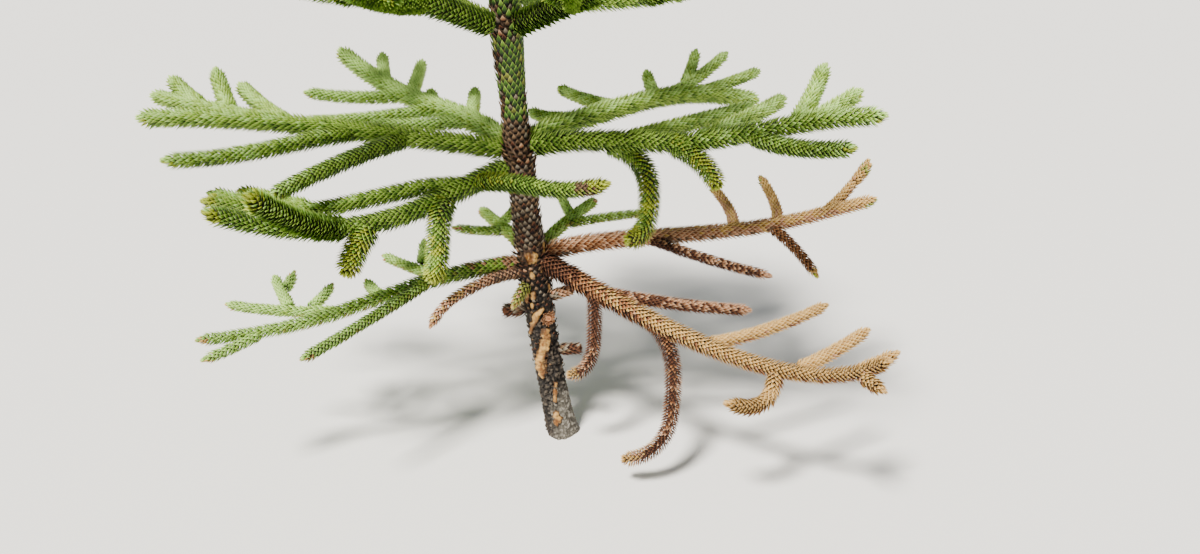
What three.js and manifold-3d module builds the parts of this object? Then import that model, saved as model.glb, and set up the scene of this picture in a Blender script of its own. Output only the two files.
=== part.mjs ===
// Monkey puzzle tree (Araucaria araucana): a young garden tree about 3 m tall and 2.3 m wide,
// with a leaning trunk, whorls of boughs and sharp leaves set all round every shoot.
// Millimetres and degrees. The origin is at the foot of the trunk and +Z is up. Seen from the
// side that the photograph shows, +X is to the right and +Y goes away. A bearing turns from
// +X towards +Y, so 0 is right, 90 is away, 180 is left and 270 comes forward.

import * as THREE from 'three';
import Module from 'manifold-3d';

const wasm = await Module();
wasm.setup();

// Sizes that the whole tree shares.

const CLEAR = 0.3; // gap between pieces that touch
const PATH_STEP = 20; // length of the straight bits that an axis is walked in

const TRUNK_TOP = 2600; // height of the trunk's tip, where the leader stands on it
const TRUNK_SIDES = 12;
const LEAN = 205; // how far left of its foot the trunk's line would end
const LEAN_HEIGHT = 1150; // height in which most of that lean is done
const FOOT_RADIUS = 51.5;
const TRUNK_TAPER = 0.0075; // radius lost for each millimetre of height
const FLARE = 15; // how far the foot spreads at the ground
const FLARE_HEIGHT = 45;
const FLARE_LOBES = 3; // roots that the flare begins to divide into
const FLARE_DEPTH = 0.4; // how deep the hollows between them are, as a share of the flare
const FLARE_BEARING = 20; // one lobe is on the right
const FOOT_HEIGHTS = [0, 20, 55, 130, 280]; // the trunk's sections below its collars

const BOUGH_SIDES = 6;
const SHOOT_SIDES = 6; // three leaf points and three hollows in each ring
const TWIG_SIDES = 4; // two of each on the shorter shoots
const TWIG_LENGTH = 280; // shoots no longer than this are twigs
const RING_STEP = 104; // distance from one ring of leaf points to the next
const LIMB_STEP = 80; // distance between the rings of a bare limb
const TIP_STEP = 0.35; // the last stretch, from the last ring to the bud, in ring steps
const TIP_PUSH = 0.15; // how far the last leaf points lean forward, in ring steps
const LEAF_PUSH = 0.8; // how far a leaf point leans forward, in ring steps
const HOLLOW = 0.6; // radius between the leaves, as a share of the radius at their points
const ROOT_CORE = 0.8; // a side shoot's core where it is sunk in its parent, against its own
const BARE_COLLAR = 60; // stretch next to the trunk with no leaf points
const COLLAR_REACH = 120; // boughs nearer than this in height crowd each other at the trunk
const LIMB_CLEAR = 0.36; // added to a limb's corners, it keeps its flat sides clear as well
const STUMP_SPREAD = 1.25; // a stump's root against its broken end

// Radius from a shoot's axis to its leaf points, at its root and near its tip.
const AXIS_RADIUS = { root: 39, tip: 31 };
const SHOOT_RADIUS = { root: 31, tip: 26 };

// The trunk swells where boughs or old stumps leave it.
const COLLARS = [
  { height: 560, swell: 5, spread: 110 },
  { height: 960, swell: 3, spread: 60 },
  { height: 1320, swell: 9, spread: 120 },
  { height: 1730, swell: 6, spread: 45 },
  { height: 2090, swell: 5, spread: 40 },
  { height: 2420, swell: 4, spread: 40 },
];

// Colours of the plant, as the photograph shows them.
const LOOKS = {
  bark: { color: 0x4a3a30, roughness: 0.95 },
  greyWood: { color: 0x8a8078, roughness: 0.95 },
  green: { color: 0x5f7f3f, roughness: 0.6 },
  paleGreen: { color: 0x8aa877, roughness: 0.6 },
  olive: { color: 0x6d7440, roughness: 0.65 },
  rust: { color: 0x9a6238, roughness: 0.8 },
  straw: { color: 0xb08a5c, roughness: 0.8 },
};

/**
 * A side shoot: where it leaves its parent, how far it turns, its length and its lift. Girth
 * is how stout it is against the usual radius, and is passed on to what branches from it.
 */
function side(at, turn, length, lift, more = {}) {
  return { at, turn, length, lift, curl: 0, girth: 1, shoots: [], ...more };
}

// The boughs that the photograph shows. Lift is the slope in degrees, at even steps along
// the bough, and stem is the length of the bare limb before the foliage begins.
const SEEN_BOUGHS = [
  {
    name: 'middle_right', height: 985, bearing: -12, length: 1070, stem: 190, look: 'green',
    lift: [18, 2, 0, 13, 12, 3],
    shoots: [
      side(276, 46, 412, [-22, -32, -54, -88, -60, -4], { curl: -210, girth: 1.5 }),
      side(330, 42, 500, [8, 6]),
      side(462, -6, 210, [-14, -30, -45, -75], { girth: 1.45 }),
      side(540, 50, 400, [8, 18]),
      side(690, -24, 325, [-16, 0, 14]),
      side(830, 70, 270, [20, 45]),
      side(850, 42, 230, [12, 26]),
    ],
  },
  {
    name: 'middle_right_back', height: 990, bearing: 32, length: 980, stem: 160, look: 'green',
    lift: [30, 8, 10, 2, -8, -12],
    shoots: [
      side(210, 100, 230, [0, -5, 15], { girth: 0.8 }),
      side(380, 92, 370, [0, 2, 10], { girth: 0.8 }),
      side(530, 68, 170, [15, 35], { girth: 0.8 }),
      side(570, 8, 320, [14, 32], { girth: 0.8, shoots: [side(90, 30, 190, [20, 50])] }),
      side(690, 8, 340, [6, 12], { girth: 0.8 }),
    ],
  },
  {
    name: 'middle_left_back', height: 985, bearing: 145, length: 840, stem: 155, look: 'paleGreen',
    lift: [28, 15, 8, 14, 22, 30],
    shoots: [
      side(200, 42, 320, [-5, 2], { girth: 0.85 }),
      side(210, -52, 235, [5, 28], { girth: 0.85 }),
      side(340, 45, 430, [-8, 0], { girth: 0.85 }),
      side(370, -40, 120, [5, 30], { girth: 0.85 }),
      side(490, -56, 260, [8, 32], { girth: 0.85 }),
      side(500, 38, 330, [-6, 10], { girth: 0.85 }),
      side(610, -42, 200, [12, 36], { girth: 0.85 }),
    ],
  },
  {
    name: 'middle_left', height: 975, bearing: 180, length: 1150, stem: 260, look: 'green',
    lift: [12, 6, 7, 6, 2, -1],
    shoots: [
      side(330, 45, 470, [-7, -18]),
      side(480, 28, 550, [-2, -8, -4, 6]),
      side(700, -42, 300, [8, 28]),
      side(740, -20, 475, [5, 9], {
        shoots: [side(165, -38, 220, [16, 50]), side(270, -18, 200, [14, 32])],
      }),
    ],
  },
  {
    name: 'middle_left_front', height: 945, bearing: 212, length: 930, stem: 105, look: 'green',
    lift: [-12, -20, -13, 2, 16, 28],
    shoots: [
      side(165, 118, 440, [12, -6, 20], { curl: 18 }),
      side(180, -19, 750, [6, -10, -10, 8, 16], {
        shoots: [side(450, -28, 250, [6, 12]), side(530, -20, 230, [8, 14])],
      }),
      side(260, 50, 265, [-30, -78, -86, -60], { curl: -70, girth: 1.55 }),
      side(492, 14, 165, [-40, -55, -66], { girth: 1.65 }),
      side(560, 24, 330, [10, 30, 42], { girth: 1.3 }),
    ],
  },
  {
    name: 'low_left', height: 625, bearing: 199, length: 1020, stem: 220, girth: 0.85,
    tipGirth: 0.65, look: 'olive', lift: [0, -6, -14, -14, -4, 2],
    shoots: [
      side(280, -56, 300, [-5, 8], { girth: 0.8, shoots: [side(115, -50, 130, [20, 45])] }),
      side(330, 34, 480, [-13, -8], { girth: 0.8 }),
      side(480, -75, 150, [-10, 16], { girth: 0.8 }),
      side(610, -32, 400, [-8, 4], {
        girth: 0.8,
        shoots: [
          side(120, -95, 150, [5, 25]),
          side(170, -46, 240, [5, 15], { shoots: [side(130, -40, 100, [10, 40])] }),
        ],
      }),
      side(830, 14, 190, [-20, -10], { girth: 0.8 }),
    ],
  },
  {
    name: 'low_left_front', height: 585, bearing: 214, length: 405, stem: 150, girth: 0.58,
    look: 'rust', lift: [14, -6, -20, -60], shoots: [],
  },
  {
    name: 'low_front', height: 572, bearing: 250, curl: -35, length: 140, stem: 0, girth: 0.75,
    look: 'olive', lift: [-5, -35, -60], shoots: [],
  },
  {
    name: 'low_right', height: 640, bearing: 12, length: 1200, stem: 300, girth: 0.8,
    tipGirth: 0.68, look: 'straw', lift: [15, 2, 0, 3, 11, 11],
    shoots: [
      side(380, -38, 430, [-14, -4], { girth: 0.85 }),
      side(680, 62, 300, [8, 25], { curl: 50, girth: 0.75 }),
      side(810, -50, 240, [-25, -50], { girth: 0.9 }),
      side(840, 62, 290, [10, 30], { curl: 40, girth: 0.75 }),
      side(1010, 25, 270, [20, 50], { girth: 0.75, shoots: [side(150, -30, 100, [45, 55])] }),
    ],
  },
  {
    name: 'low_right_front', height: 650, bearing: -28, length: 1180, stem: 185, girth: 1.05,
    tipGirth: 0.72, look: 'rust', lift: [-20, -20, -16, -10, 6, 40],
    shoots: [
      side(240, -42, 330, [-50, -85, -88, -60, 5], { curl: -120, girth: 0.92 }),
      side(260, 35, 500, [-14, -6], { girth: 0.75 }),
      side(418, 14, 568, [-26, -50, -75, -82, -38, -8], { curl: -188 }),
      side(630, 52, 450, [-2, 16], { girth: 0.72 }),
      side(855, -75, 225, [-30, -60, -15, 10, 15], { curl: -90, girth: 0.88 }),
      side(900, 58, 300, [6, 20], { girth: 0.75 }),
      side(1060, 40, 150, [10, 30], { girth: 0.75 }),
      side(1080, -30, 100, [-10, -6], { girth: 0.75 }),
    ],
  },
  {
    name: 'low_right_back', height: 640, bearing: 60, length: 420, stem: 150, girth: 0.66,
    look: 'olive', lift: [20, 12, 5],
    shoots: [side(200, -46, 290, [8, 0]), side(260, 50, 160, [10, 30])],
  },
  {
    name: 'low_left_back', height: 640, bearing: 120, length: 420, stem: 140, girth: 0.66,
    look: 'olive', lift: [16, 4, 6],
    shoots: [side(190, 46, 200, [-6, 4]), side(250, -48, 200, [6, 20])],
  },
];

// Whorls at and above the photograph's upper edge. Their side shoots follow the seeded rule.
// Rise is how steeply the boughs set out.
const LEVELLING = [1, 0.85, 0.9, 0.5]; // how much of that rise is left, at even steps to the tip
const HEIGHT_SPREAD = 16; // between the lowest and highest bough of a whorl
const LENGTH_SHARE = [0.94, 0.12]; // a bough's length against its whorl's: smallest, spread
const HIDDEN_WHORLS = [
  { word: 'upper', height: 1338, bearings: [34, 94, 150, 216, 320], length: 1020, stem: 225, rise: 20 },
  { word: 'high', height: 1730, bearings: [46, 118, 190, 262, 334], length: 850, stem: 190, rise: 20 },
  { word: 'top', height: 2090, bearings: [10, 82, 154, 226, 298], length: 650, stem: 0, rise: 22 },
  { word: 'crest', height: 2420, bearings: [60, 150, 240, 330], length: 430, stem: 0, rise: 30 },
];

const LEADER = {
  length: 400, // from the trunk's tip to the top of the tree
  shootsAt: 110,
  shootCount: 4,
  shootLength: 210,
  shootLift: [30, 55],
  shootBearing: 15,
};

const STUMPS = [
  { name: 'stump_left', height: 458, bearing: 195, length: 112, lift: [6, 0], radius: 23 },
  { name: 'stump_right', height: 492, bearing: -20, length: 122, lift: [22, 22], radius: 17 },
  { name: 'stump_right_low', height: 308, bearing: -12, length: 114, lift: [10, 8], radius: 19 },
];

// How side shoots are paired along a hidden bough. Each pair is [smallest, spread].
const PAIRING = {
  first: [175, 25], // least distance of the first pair from the trunk's line
  afterStem: 40, // and from the end of the bare limb
  gap: [185, 40], // from one pair to the next
  stagger: 24, // how far the two shoots of a pair may be apart
  turn: [40, 14], // degrees away from the bough
  share: [0.46, 0.14], // length against what is left of the bough
  extra: 60, // and this much more
  lift: [-6, 8], // degrees at the root
  tipLift: [6, 16], // degrees at the tip
  endMargin: 90, // no pair nearer than this to the bough's tip
  tries: [1, 0.8, 0.6], // shares of its length that a shoot is tried at
  margin: 37, // distance kept from the edge of the bough's own space
};

// Small helpers.

const radians = THREE.MathUtils.degToRad;

/** The value at a share (0 to 1) of the way along an evenly spaced list of sizes. */
function along(values, share) {
  const place = share * (values.length - 1);
  const index = Math.min(Math.floor(place), values.length - 2);
  return values[index] + (values[index + 1] - values[index]) * (place - index);
}

/** A dealer of repeatable numbers from 0 to 1. */
function dealer(seed) {
  const MODULUS = 2147483647;
  let state = (seed * 7919) % MODULUS;
  const deal = () => {
    state = (state * 48271) % MODULUS;
    return state / MODULUS;
  };
  deal();
  deal();
  return deal;
}

/** How far left or right of the foot the trunk's centre line is at a height. */
function trunkLine(height) {
  return -LEAN * (1 - Math.exp(-height / LEAN_HEIGHT));
}

/** Radius of the trunk with its leaf scales, away from the flare. */
function trunkRadius(height) {
  let radius = FOOT_RADIUS - TRUNK_TAPER * height;
  for (const collar of COLLARS) {
    radius += collar.swell * Math.exp(-(((height - collar.height) / collar.spread) ** 2));
  }
  return radius;
}

/** The line that a bough or shoot grows along. */
class Axis {
  constructor(start, { bearing, length, lift, curl = 0 }) {
    this.length = length;
    this.steps = Math.max(3, Math.round(length / PATH_STEP));
    this.bearing = bearing;
    this.curl = curl;
    this.lift = lift;
    this.points = [start.clone()];
    const stride = length / this.steps;
    for (let step = 0; step < this.steps; step += 1) {
      const { forward } = this.directions((step + 0.5) / this.steps);
      this.points.push(this.points[step].clone().addScaledVector(forward, stride));
    }
  }

  /** Forward, left and up at a share of the way along. */
  directions(share) {
    const heading = radians(this.bearing + this.curl * share);
    const pitch = radians(along(this.lift, share));
    const level = Math.cos(pitch);
    const forward = new THREE.Vector3(level * Math.cos(heading), level * Math.sin(heading), Math.sin(pitch));
    const left = new THREE.Vector3(-Math.sin(heading), Math.cos(heading), 0);
    return { forward, left, up: forward.clone().cross(left) };
  }

  /** The point and directions at a distance from the start. */
  at(distance) {
    const place = (distance / this.length) * this.steps;
    const index = Math.min(Math.max(Math.floor(place), 0), this.steps - 1);
    const point = this.points[index].clone().lerp(this.points[index + 1], place - index);
    return { point, ...this.directions(distance / this.length) };
  }

  /** Bearing of the axis at a distance from the start. */
  bearingAt(distance) {
    return this.bearing + (this.curl * distance) / this.length;
  }
}

/** The axis of a side shoot on its parent axis. */
function sideAxis(parent, shoot) {
  const { point } = parent.at(shoot.at);
  return new Axis(point, { ...shoot, bearing: parent.bearingAt(shoot.at) + shoot.turn });
}

// Solids.

/** A closed solid from its corners and triangles. */
function solid(points, triangles) {
  const vertProperties = new Float32Array(points.flatMap((point) => point.toArray()));
  const triVerts = new Uint32Array(triangles.flat());
  return new wasm.Manifold(new wasm.Mesh({ numProp: 3, vertProperties, triVerts }));
}

/**
 * Skins rings of corners into a solid, with a flat start and a flat or pointed end. Where two
 * rings meet, the faces are folded along the line that joins their hollows, so that a corner
 * which stands out is the point of a four-sided leaf of its own.
 */
function skin(rings, tip = null) {
  const count = rings[0].length;
  const points = rings.flat();
  const triangles = [];
  for (let corner = 1; corner < count - 1; corner += 1) {
    triangles.push([0, corner + 1, corner]);
  }
  for (let ring = 0; ring < rings.length - 1; ring += 1) {
    for (let corner = 0; corner < count; corner += 1) {
      const next = (corner + 1) % count;
      const a = ring * count + corner;
      const b = ring * count + next;
      const c = b + count;
      const d = a + count;
      if ((ring + corner) % 2 === 0) {
        triangles.push([a, b, d], [b, c, d]);
      } else {
        triangles.push([a, b, c], [a, c, d]);
      }
    }
  }
  const last = (rings.length - 1) * count;
  if (tip) {
    points.push(tip);
    for (let corner = 0; corner < count; corner += 1) {
      triangles.push([last + corner, last + ((corner + 1) % count), points.length - 1]);
    }
  } else {
    for (let corner = 1; corner < count - 1; corner += 1) {
      triangles.push([last, last + corner, last + corner + 1]);
    }
  }
  return solid(points, triangles);
}

/** Corners round a place on an axis. The radius and forward push may differ by corner. */
function ringAt(place, count, radiusOf, pushOf = () => 0) {
  return Array.from({ length: count }, (_, corner) => {
    const angle = (2 * Math.PI * corner) / count;
    return place.point
      .clone()
      .addScaledVector(place.left, Math.cos(angle) * radiusOf(corner))
      .addScaledVector(place.up, Math.sin(angle) * radiusOf(corner))
      .addScaledVector(place.forward, pushOf(corner));
  });
}

/** The trunk, from the flat cut at the ground to its tip. */
function trunkSolid(grow = 0) {
  const collarHeights = COLLARS.flatMap(({ height, spread }) => [height - spread, height, height + spread]);
  const heights = [...FOOT_HEIGHTS, ...collarHeights, TRUNK_TOP + grow];
  const rings = heights.map((height) => {
    const spread = FLARE * Math.exp(-height / FLARE_HEIGHT);
    return Array.from({ length: TRUNK_SIDES }, (_, corner) => {
      const angle = (2 * Math.PI * corner) / TRUNK_SIDES;
      const lobe = Math.cos(FLARE_LOBES * (angle - radians(FLARE_BEARING)));
      const radius = trunkRadius(height) + grow + spread * (1 - FLARE_DEPTH + FLARE_DEPTH * lobe);
      return new THREE.Vector3(
        trunkLine(height) + radius * Math.cos(angle),
        radius * Math.sin(angle),
        height,
      );
    });
  });
  return skin(rings);
}

/** A tapering limb along an axis, from its start to a distance along it. */
function limbSolid(axis, reach, radius, grow = 0) {
  const pieces = Math.max(2, Math.round(reach / LIMB_STEP));
  const rings = [];
  for (let piece = 0; piece <= pieces; piece += 1) {
    const distance = (reach * piece) / pieces;
    const size = THREE.MathUtils.lerp(radius.root, radius.tip, distance / axis.length) + grow;
    rings.push(ringAt(axis.at(distance), BOUGH_SIDES, () => size));
  }
  return skin(rings);
}

/**
 * One leafy shoot: a slim core with leaf points that stand out and forward all round it. The
 * points of one ring stand between those of the next.
 */
function shootSolid(axis, radius, { from = 0, bare = 0, core = 1 } = {}) {
  const reach = axis.length - from;
  const count = Math.max(2, Math.round(reach / RING_STEP));
  const step = reach / (count + TIP_STEP);
  const sides = axis.length > TWIG_LENGTH ? SHOOT_SIDES : TWIG_SIDES;
  const rings = [];
  for (let ring = 0; ring <= count; ring += 1) {
    const distance = from + ring * step;
    const size = THREE.MathUtils.lerp(radius.root, radius.tip, distance / axis.length);
    const hollow = size * HOLLOW;
    const leafless = ring === 0 || distance < bare;
    const isPoint = (corner) => !leafless && (ring + corner) % 2 === 0;
    const base = ring === 0 ? hollow * core : hollow;
    const push = step * (ring === count ? TIP_PUSH : LEAF_PUSH);
    rings.push(
      ringAt(
        axis.at(distance),
        sides,
        (corner) => (isPoint(corner) ? size : base),
        (corner) => (isPoint(corner) ? push : 0),
      ),
    );
  }
  return skin(rings, axis.at(axis.length).point);
}

/** A pair of radii, made stouter or slimmer, at the tip by another share if one is given. */
function thickened({ root, tip }, girth, tipGirth = girth) {
  return { root: root * girth, tip: tip * tipGirth };
}

/** A stem with all the shoots that branch from it, fused into one solid. */
function branchSolid(axis, shoots, radius, girth, options) {
  let whole = shootSolid(axis, radius, options);
  for (const shoot of shoots) {
    const size = girth * shoot.girth;
    const stout = thickened(SHOOT_RADIUS, size);
    const part = branchSolid(sideAxis(axis, shoot), shoot.shoots, stout, size, { core: ROOT_CORE });
    whole = whole.add(part);
  }
  return whole;
}

/** The largest closed body in a solid: sealed hollows are filled and loose scraps dropped. */
function largestBody(whole) {
  const mesh = whole.getMesh();
  const corner = (index) => new THREE.Vector3().fromArray(mesh.vertProperties, index * mesh.numProp);
  const parent = Array.from({ length: mesh.numVert }, (_, index) => index);
  const find = (index) => {
    let root = index;
    while (parent[root] !== root) root = parent[root];
    parent[index] = root;
    return root;
  };
  for (let index = 0; index < mesh.mergeFromVert.length; index += 1) {
    parent[find(mesh.mergeFromVert[index])] = find(mesh.mergeToVert[index]);
  }
  const triangles = [];
  for (let index = 0; index < mesh.numTri; index += 1) {
    const triangle = mesh.triVerts.slice(3 * index, 3 * index + 3);
    triangles.push(triangle);
    parent[find(triangle[1])] = find(triangle[0]);
    parent[find(triangle[2])] = find(triangle[0]);
  }
  const volumes = new Map();
  for (const [a, b, c] of triangles) {
    const volume = corner(a).dot(corner(b).cross(corner(c))) / 6;
    volumes.set(find(a), (volumes.get(find(a)) ?? 0) + volume);
  }
  const largest = [...volumes].reduce((best, entry) => (entry[1] > best[1] ? entry : best))[0];
  const kept = triangles.filter((triangle) => find(triangle[0]) === largest);
  const geometry = new THREE.BufferGeometry();
  const positions = kept.flatMap((triangle) => [...triangle].flatMap((index) => corner(index).toArray()));
  geometry.setAttribute('position', new THREE.Float32BufferAttribute(positions, 3));
  geometry.computeVertexNormals();
  return geometry;
}

/** A named mesh with one of the plant's looks. */
function meshOf(name, whole, look) {
  const material = new THREE.MeshStandardMaterial({ ...LOOKS[look], metalness: 0, flatShading: true });
  const mesh = new THREE.Mesh(largestBody(whole), material);
  mesh.name = name;
  return mesh;
}

// The seeded rule for the boughs that the photograph does not show.

/** Plain word for a bearing, in eighths of a turn. */
function sideWord(bearing) {
  const words = ['right', 'right_back', 'back', 'left_back', 'left', 'left_front', 'front', 'right_front'];
  return words[Math.round((((bearing % 360) + 360) % 360) / 45) % 8];
}

/**
 * Side shoots in pairs along a bough, as on the boughs that show: each pair shorter than the
 * last. A shoot that would leave the bough's own space, the wedge that ends halfway to the
 * next bough on either side, is tried shorter and then skipped.
 */
function pairedShoots(bough, axis, wedge) {
  const deal = dealer(bough.seed);
  const pick = ([smallest, spread]) => smallest + spread * deal();
  const origin = new THREE.Vector3(trunkLine(bough.height), 0, 0);
  const shoots = [];
  let at = Math.max(pick(PAIRING.first), bough.stem + PAIRING.afterStem);
  while (at < bough.length - PAIRING.endMargin) {
    for (const hand of [1, -1]) {
      const turn = hand * pick(PAIRING.turn);
      const full = pick(PAIRING.share) * (bough.length - at) + PAIRING.extra;
      const lift = [pick(PAIRING.lift), pick(PAIRING.tipLift)];
      const here = at + (hand < 0 ? PAIRING.stagger * deal() : 0);
      const room = hand > 0 ? wedge.left : wedge.right;
      const fits = (share) => {
        const tip = sideAxis(axis, side(here, turn, full * share, lift)).points.at(-1).sub(origin);
        const swing = hand * (Math.atan2(tip.y, tip.x) - radians(bough.bearing));
        const angle = radians(room) - Math.atan2(Math.sin(swing), Math.cos(swing));
        return Math.hypot(tip.x, tip.y) * Math.sin(angle) > PAIRING.margin;
      };
      const share = PAIRING.tries.find(fits);
      if (share) shoots.push(side(here, turn, full * share, lift));
    }
    at += pick(PAIRING.gap);
  }
  return shoots;
}

/** The boughs of one whorl that the photograph does not show, with their shoots. */
function hiddenBoughs(whorl) {
  const count = whorl.bearings.length;
  return whorl.bearings.map((bearing, index) => {
    const deal = dealer(whorl.height + index);
    const after = whorl.bearings[(index + 1) % count] + (index === count - 1 ? 360 : 0);
    const before = whorl.bearings[(index + count - 1) % count] - (index === 0 ? 360 : 0);
    const bough = {
      name: `${whorl.word}_${sideWord(bearing)}`,
      height: whorl.height + HEIGHT_SPREAD * (deal() - 0.5),
      bearing,
      length: whorl.length * (LENGTH_SHARE[0] + LENGTH_SHARE[1] * deal()),
      lift: LEVELLING.map((share) => whorl.rise * share),
      stem: whorl.stem,
      seed: whorl.height + index,
      look: 'green',
    };
    const wedge = { left: (after - bearing) / 2, right: (bearing - before) / 2 };
    bough.shoots = pairedShoots(bough, boughAxis(bough), wedge);
    return bough;
  });
}

/** A bough's axis, from the trunk's centre line outwards. */
function boughAxis(bough) {
  return new Axis(new THREE.Vector3(trunkLine(bough.height), 0, bough.height), bough);
}

// The tree.

const tree = new THREE.Group();
tree.name = 'monkey_puzzle_tree';

const trunk = trunkSolid();
const aroundTrunk = trunkSolid(CLEAR);
tree.add(meshOf('trunk', trunk, 'bark'));

for (const stump of STUMPS) {
  const radius = { root: stump.radius * STUMP_SPREAD, tip: stump.radius };
  const limb = limbSolid(boughAxis(stump), stump.length, radius);
  tree.add(meshOf(stump.name, limb.subtract(aroundTrunk), 'greyWood'));
}

const boughs = [...SEEN_BOUGHS, ...HIDDEN_WHORLS.flatMap(hiddenBoughs)];
const collarsTaken = [];
for (const bough of boughs) {
  const axis = boughAxis(bough);
  const { girth = 1, tipGirth } = bough;
  if (bough.stem > 0) {
    const radius = thickened(AXIS_RADIUS, girth, tipGirth);
    let limb = limbSolid(axis, bough.stem, radius).subtract(aroundTrunk);
    for (const taken of collarsTaken) {
      if (Math.abs(taken.height - bough.height) < COLLAR_REACH) limb = limb.subtract(taken.solid);
    }
    tree.add(meshOf(`bough_${bough.name}`, limb, bough.look));
    const around = limbSolid(axis, bough.stem, radius, LIMB_CLEAR);
    collarsTaken.push({ height: bough.height, solid: around });
    const foliage = branchSolid(axis, bough.shoots, radius, girth, { from: bough.stem + CLEAR });
    tree.add(meshOf(`foliage_${bough.name}`, foliage, bough.look));
  } else {
    const slim = thickened(SHOOT_RADIUS, girth);
    const foliage = branchSolid(axis, bough.shoots, slim, girth, { bare: BARE_COLLAR });
    tree.add(meshOf(`foliage_${bough.name}`, foliage.subtract(aroundTrunk), bough.look));
  }
}

const leader = {
  bearing: 180,
  length: LEADER.length,
  lift: [90, 88],
  shoots: Array.from({ length: LEADER.shootCount }, (_, index) => {
    const turn = LEADER.shootBearing + (360 * index) / LEADER.shootCount;
    return side(LEADER.shootsAt, turn, LEADER.shootLength, LEADER.shootLift);
  }),
};
const leaderStart = new THREE.Vector3(trunkLine(TRUNK_TOP), 0, TRUNK_TOP + CLEAR);
const leaderAxis = new Axis(leaderStart, leader);
const leaderSolid = branchSolid(leaderAxis, leader.shoots, SHOOT_RADIUS, 1);
tree.add(meshOf('foliage_leader', leaderSolid, 'green'));

export default tree;
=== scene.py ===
# %% [markdown]
# # A young monkey puzzle tree
#
# The tree was first built as plain closed solids: a trunk, boughs and masses of foliage, each
# where it belongs and of the right size. This script keeps them as a fixed frame and grows the
# real plant round them: bark with its relief, leafy shoots, dead limbs and lumps of resin.
#
# Everything is in metres in the frame's own axes. The foot of the trunk is the origin, +Z is
# up, +X is right and +Y goes away from the camera.

# %% Load the frame
import math
from collections import namedtuple

import bpy
import numpy as np
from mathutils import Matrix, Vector, noise


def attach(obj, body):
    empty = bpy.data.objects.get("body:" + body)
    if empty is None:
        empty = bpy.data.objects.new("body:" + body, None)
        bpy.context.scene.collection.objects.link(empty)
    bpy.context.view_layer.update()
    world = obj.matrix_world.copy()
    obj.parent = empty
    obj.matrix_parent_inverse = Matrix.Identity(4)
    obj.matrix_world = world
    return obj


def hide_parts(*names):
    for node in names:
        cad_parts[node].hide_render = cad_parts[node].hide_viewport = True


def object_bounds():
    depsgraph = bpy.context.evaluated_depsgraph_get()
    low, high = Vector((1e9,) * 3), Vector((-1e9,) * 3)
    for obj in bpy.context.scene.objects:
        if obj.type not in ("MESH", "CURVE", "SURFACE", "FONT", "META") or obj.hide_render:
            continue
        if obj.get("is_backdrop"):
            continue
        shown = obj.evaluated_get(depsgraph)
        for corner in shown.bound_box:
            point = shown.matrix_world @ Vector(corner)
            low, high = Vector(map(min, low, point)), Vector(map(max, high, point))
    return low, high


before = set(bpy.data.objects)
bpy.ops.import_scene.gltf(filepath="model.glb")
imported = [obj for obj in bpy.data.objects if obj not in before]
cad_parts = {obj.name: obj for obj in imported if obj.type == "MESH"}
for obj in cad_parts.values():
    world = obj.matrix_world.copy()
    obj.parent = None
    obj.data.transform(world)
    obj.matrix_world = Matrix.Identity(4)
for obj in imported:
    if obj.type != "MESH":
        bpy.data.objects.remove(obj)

cad_box = [list(corner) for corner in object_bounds()]
print("frame:", len(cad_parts), "nodes, box", cad_box)

# %% [markdown]
# ## The camera
#
# The photograph looks slightly down at the tree from eye height. A camera in Blender looks
# along its own -Z, so a turn of 90 degrees about X makes it look level, and a smaller turn
# tips it down. The focal length was measured in pixels of the photograph, which is the most
# direct way: millimetres of lens follow from the width of the sensor.

# %% Camera at the photograph's viewpoint
PHOTO_WIDTH = 1200  # pixels
FOCAL_PIXELS = 830
SENSOR_WIDTH = 36  # millimetres
TILT_DOWN = 20.3  # degrees
EYE = (0.132, -2.52, 1.50)

bpy.ops.object.camera_add(location=EYE, rotation=(math.radians(90 - TILT_DOWN), 0, 0))
camera = bpy.context.object
camera.name = "photo_camera"
camera.data.sensor_fit = "HORIZONTAL"
camera.data.sensor_width = SENSOR_WIDTH
camera.data.lens = SENSOR_WIDTH * FOCAL_PIXELS / PHOTO_WIDTH
camera.data.clip_end = 500  # metres, well past the edge of the floor
bpy.context.scene.camera = camera
print("lens", round(camera.data.lens, 2), "mm")

# %% [markdown]
# ## Colour and nodes
#
# Colours are written as the hex values that a paint program shows. Blender's shaders work
# with linear light, so one function turns them. Another adds a node to a material with its
# settings and its links in one line, which keeps each material short enough to read.

# %% Colours and one function for nodes
def linear(hex_colour, alpha=1.0):
    """A shader colour from an sRGB hex value."""
    shares = [int(hex_colour[place : place + 2], 16) / 255 for place in (1, 3, 5)]
    light = [s / 12.92 if s <= 0.04045 else ((s + 0.055) / 1.055) ** 2.4 for s in shares]
    return (*light, alpha)


def add(tree, kind, inputs=None, **settings):
    """Adds a node. Each input is a value, or the output of another node to link."""
    made = tree.nodes.new("ShaderNode" + kind)
    for name, value in settings.items():
        setattr(made, name, value)
    for key, value in (inputs or {}).items():
        if isinstance(value, bpy.types.NodeSocket):
            tree.links.new(value, made.inputs[key])
        else:
            made.inputs[key].default_value = value
    return made


def blank_material(name):
    """A new material, its node tree and its Principled shader."""
    material = bpy.data.materials.new(name)
    material.use_nodes = True
    return material, material.node_tree, material.node_tree.nodes["Principled BSDF"]


# %% [markdown]
# ## Studio light and floor
#
# The floor is one large pale sheet of seamless paper. The light is soft from all round with a
# broad sun high on the left and a little in front, as on a bright day with thin cloud, so that
# the tops of the boughs are light and the gaps between the leaves are dark.

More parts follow.
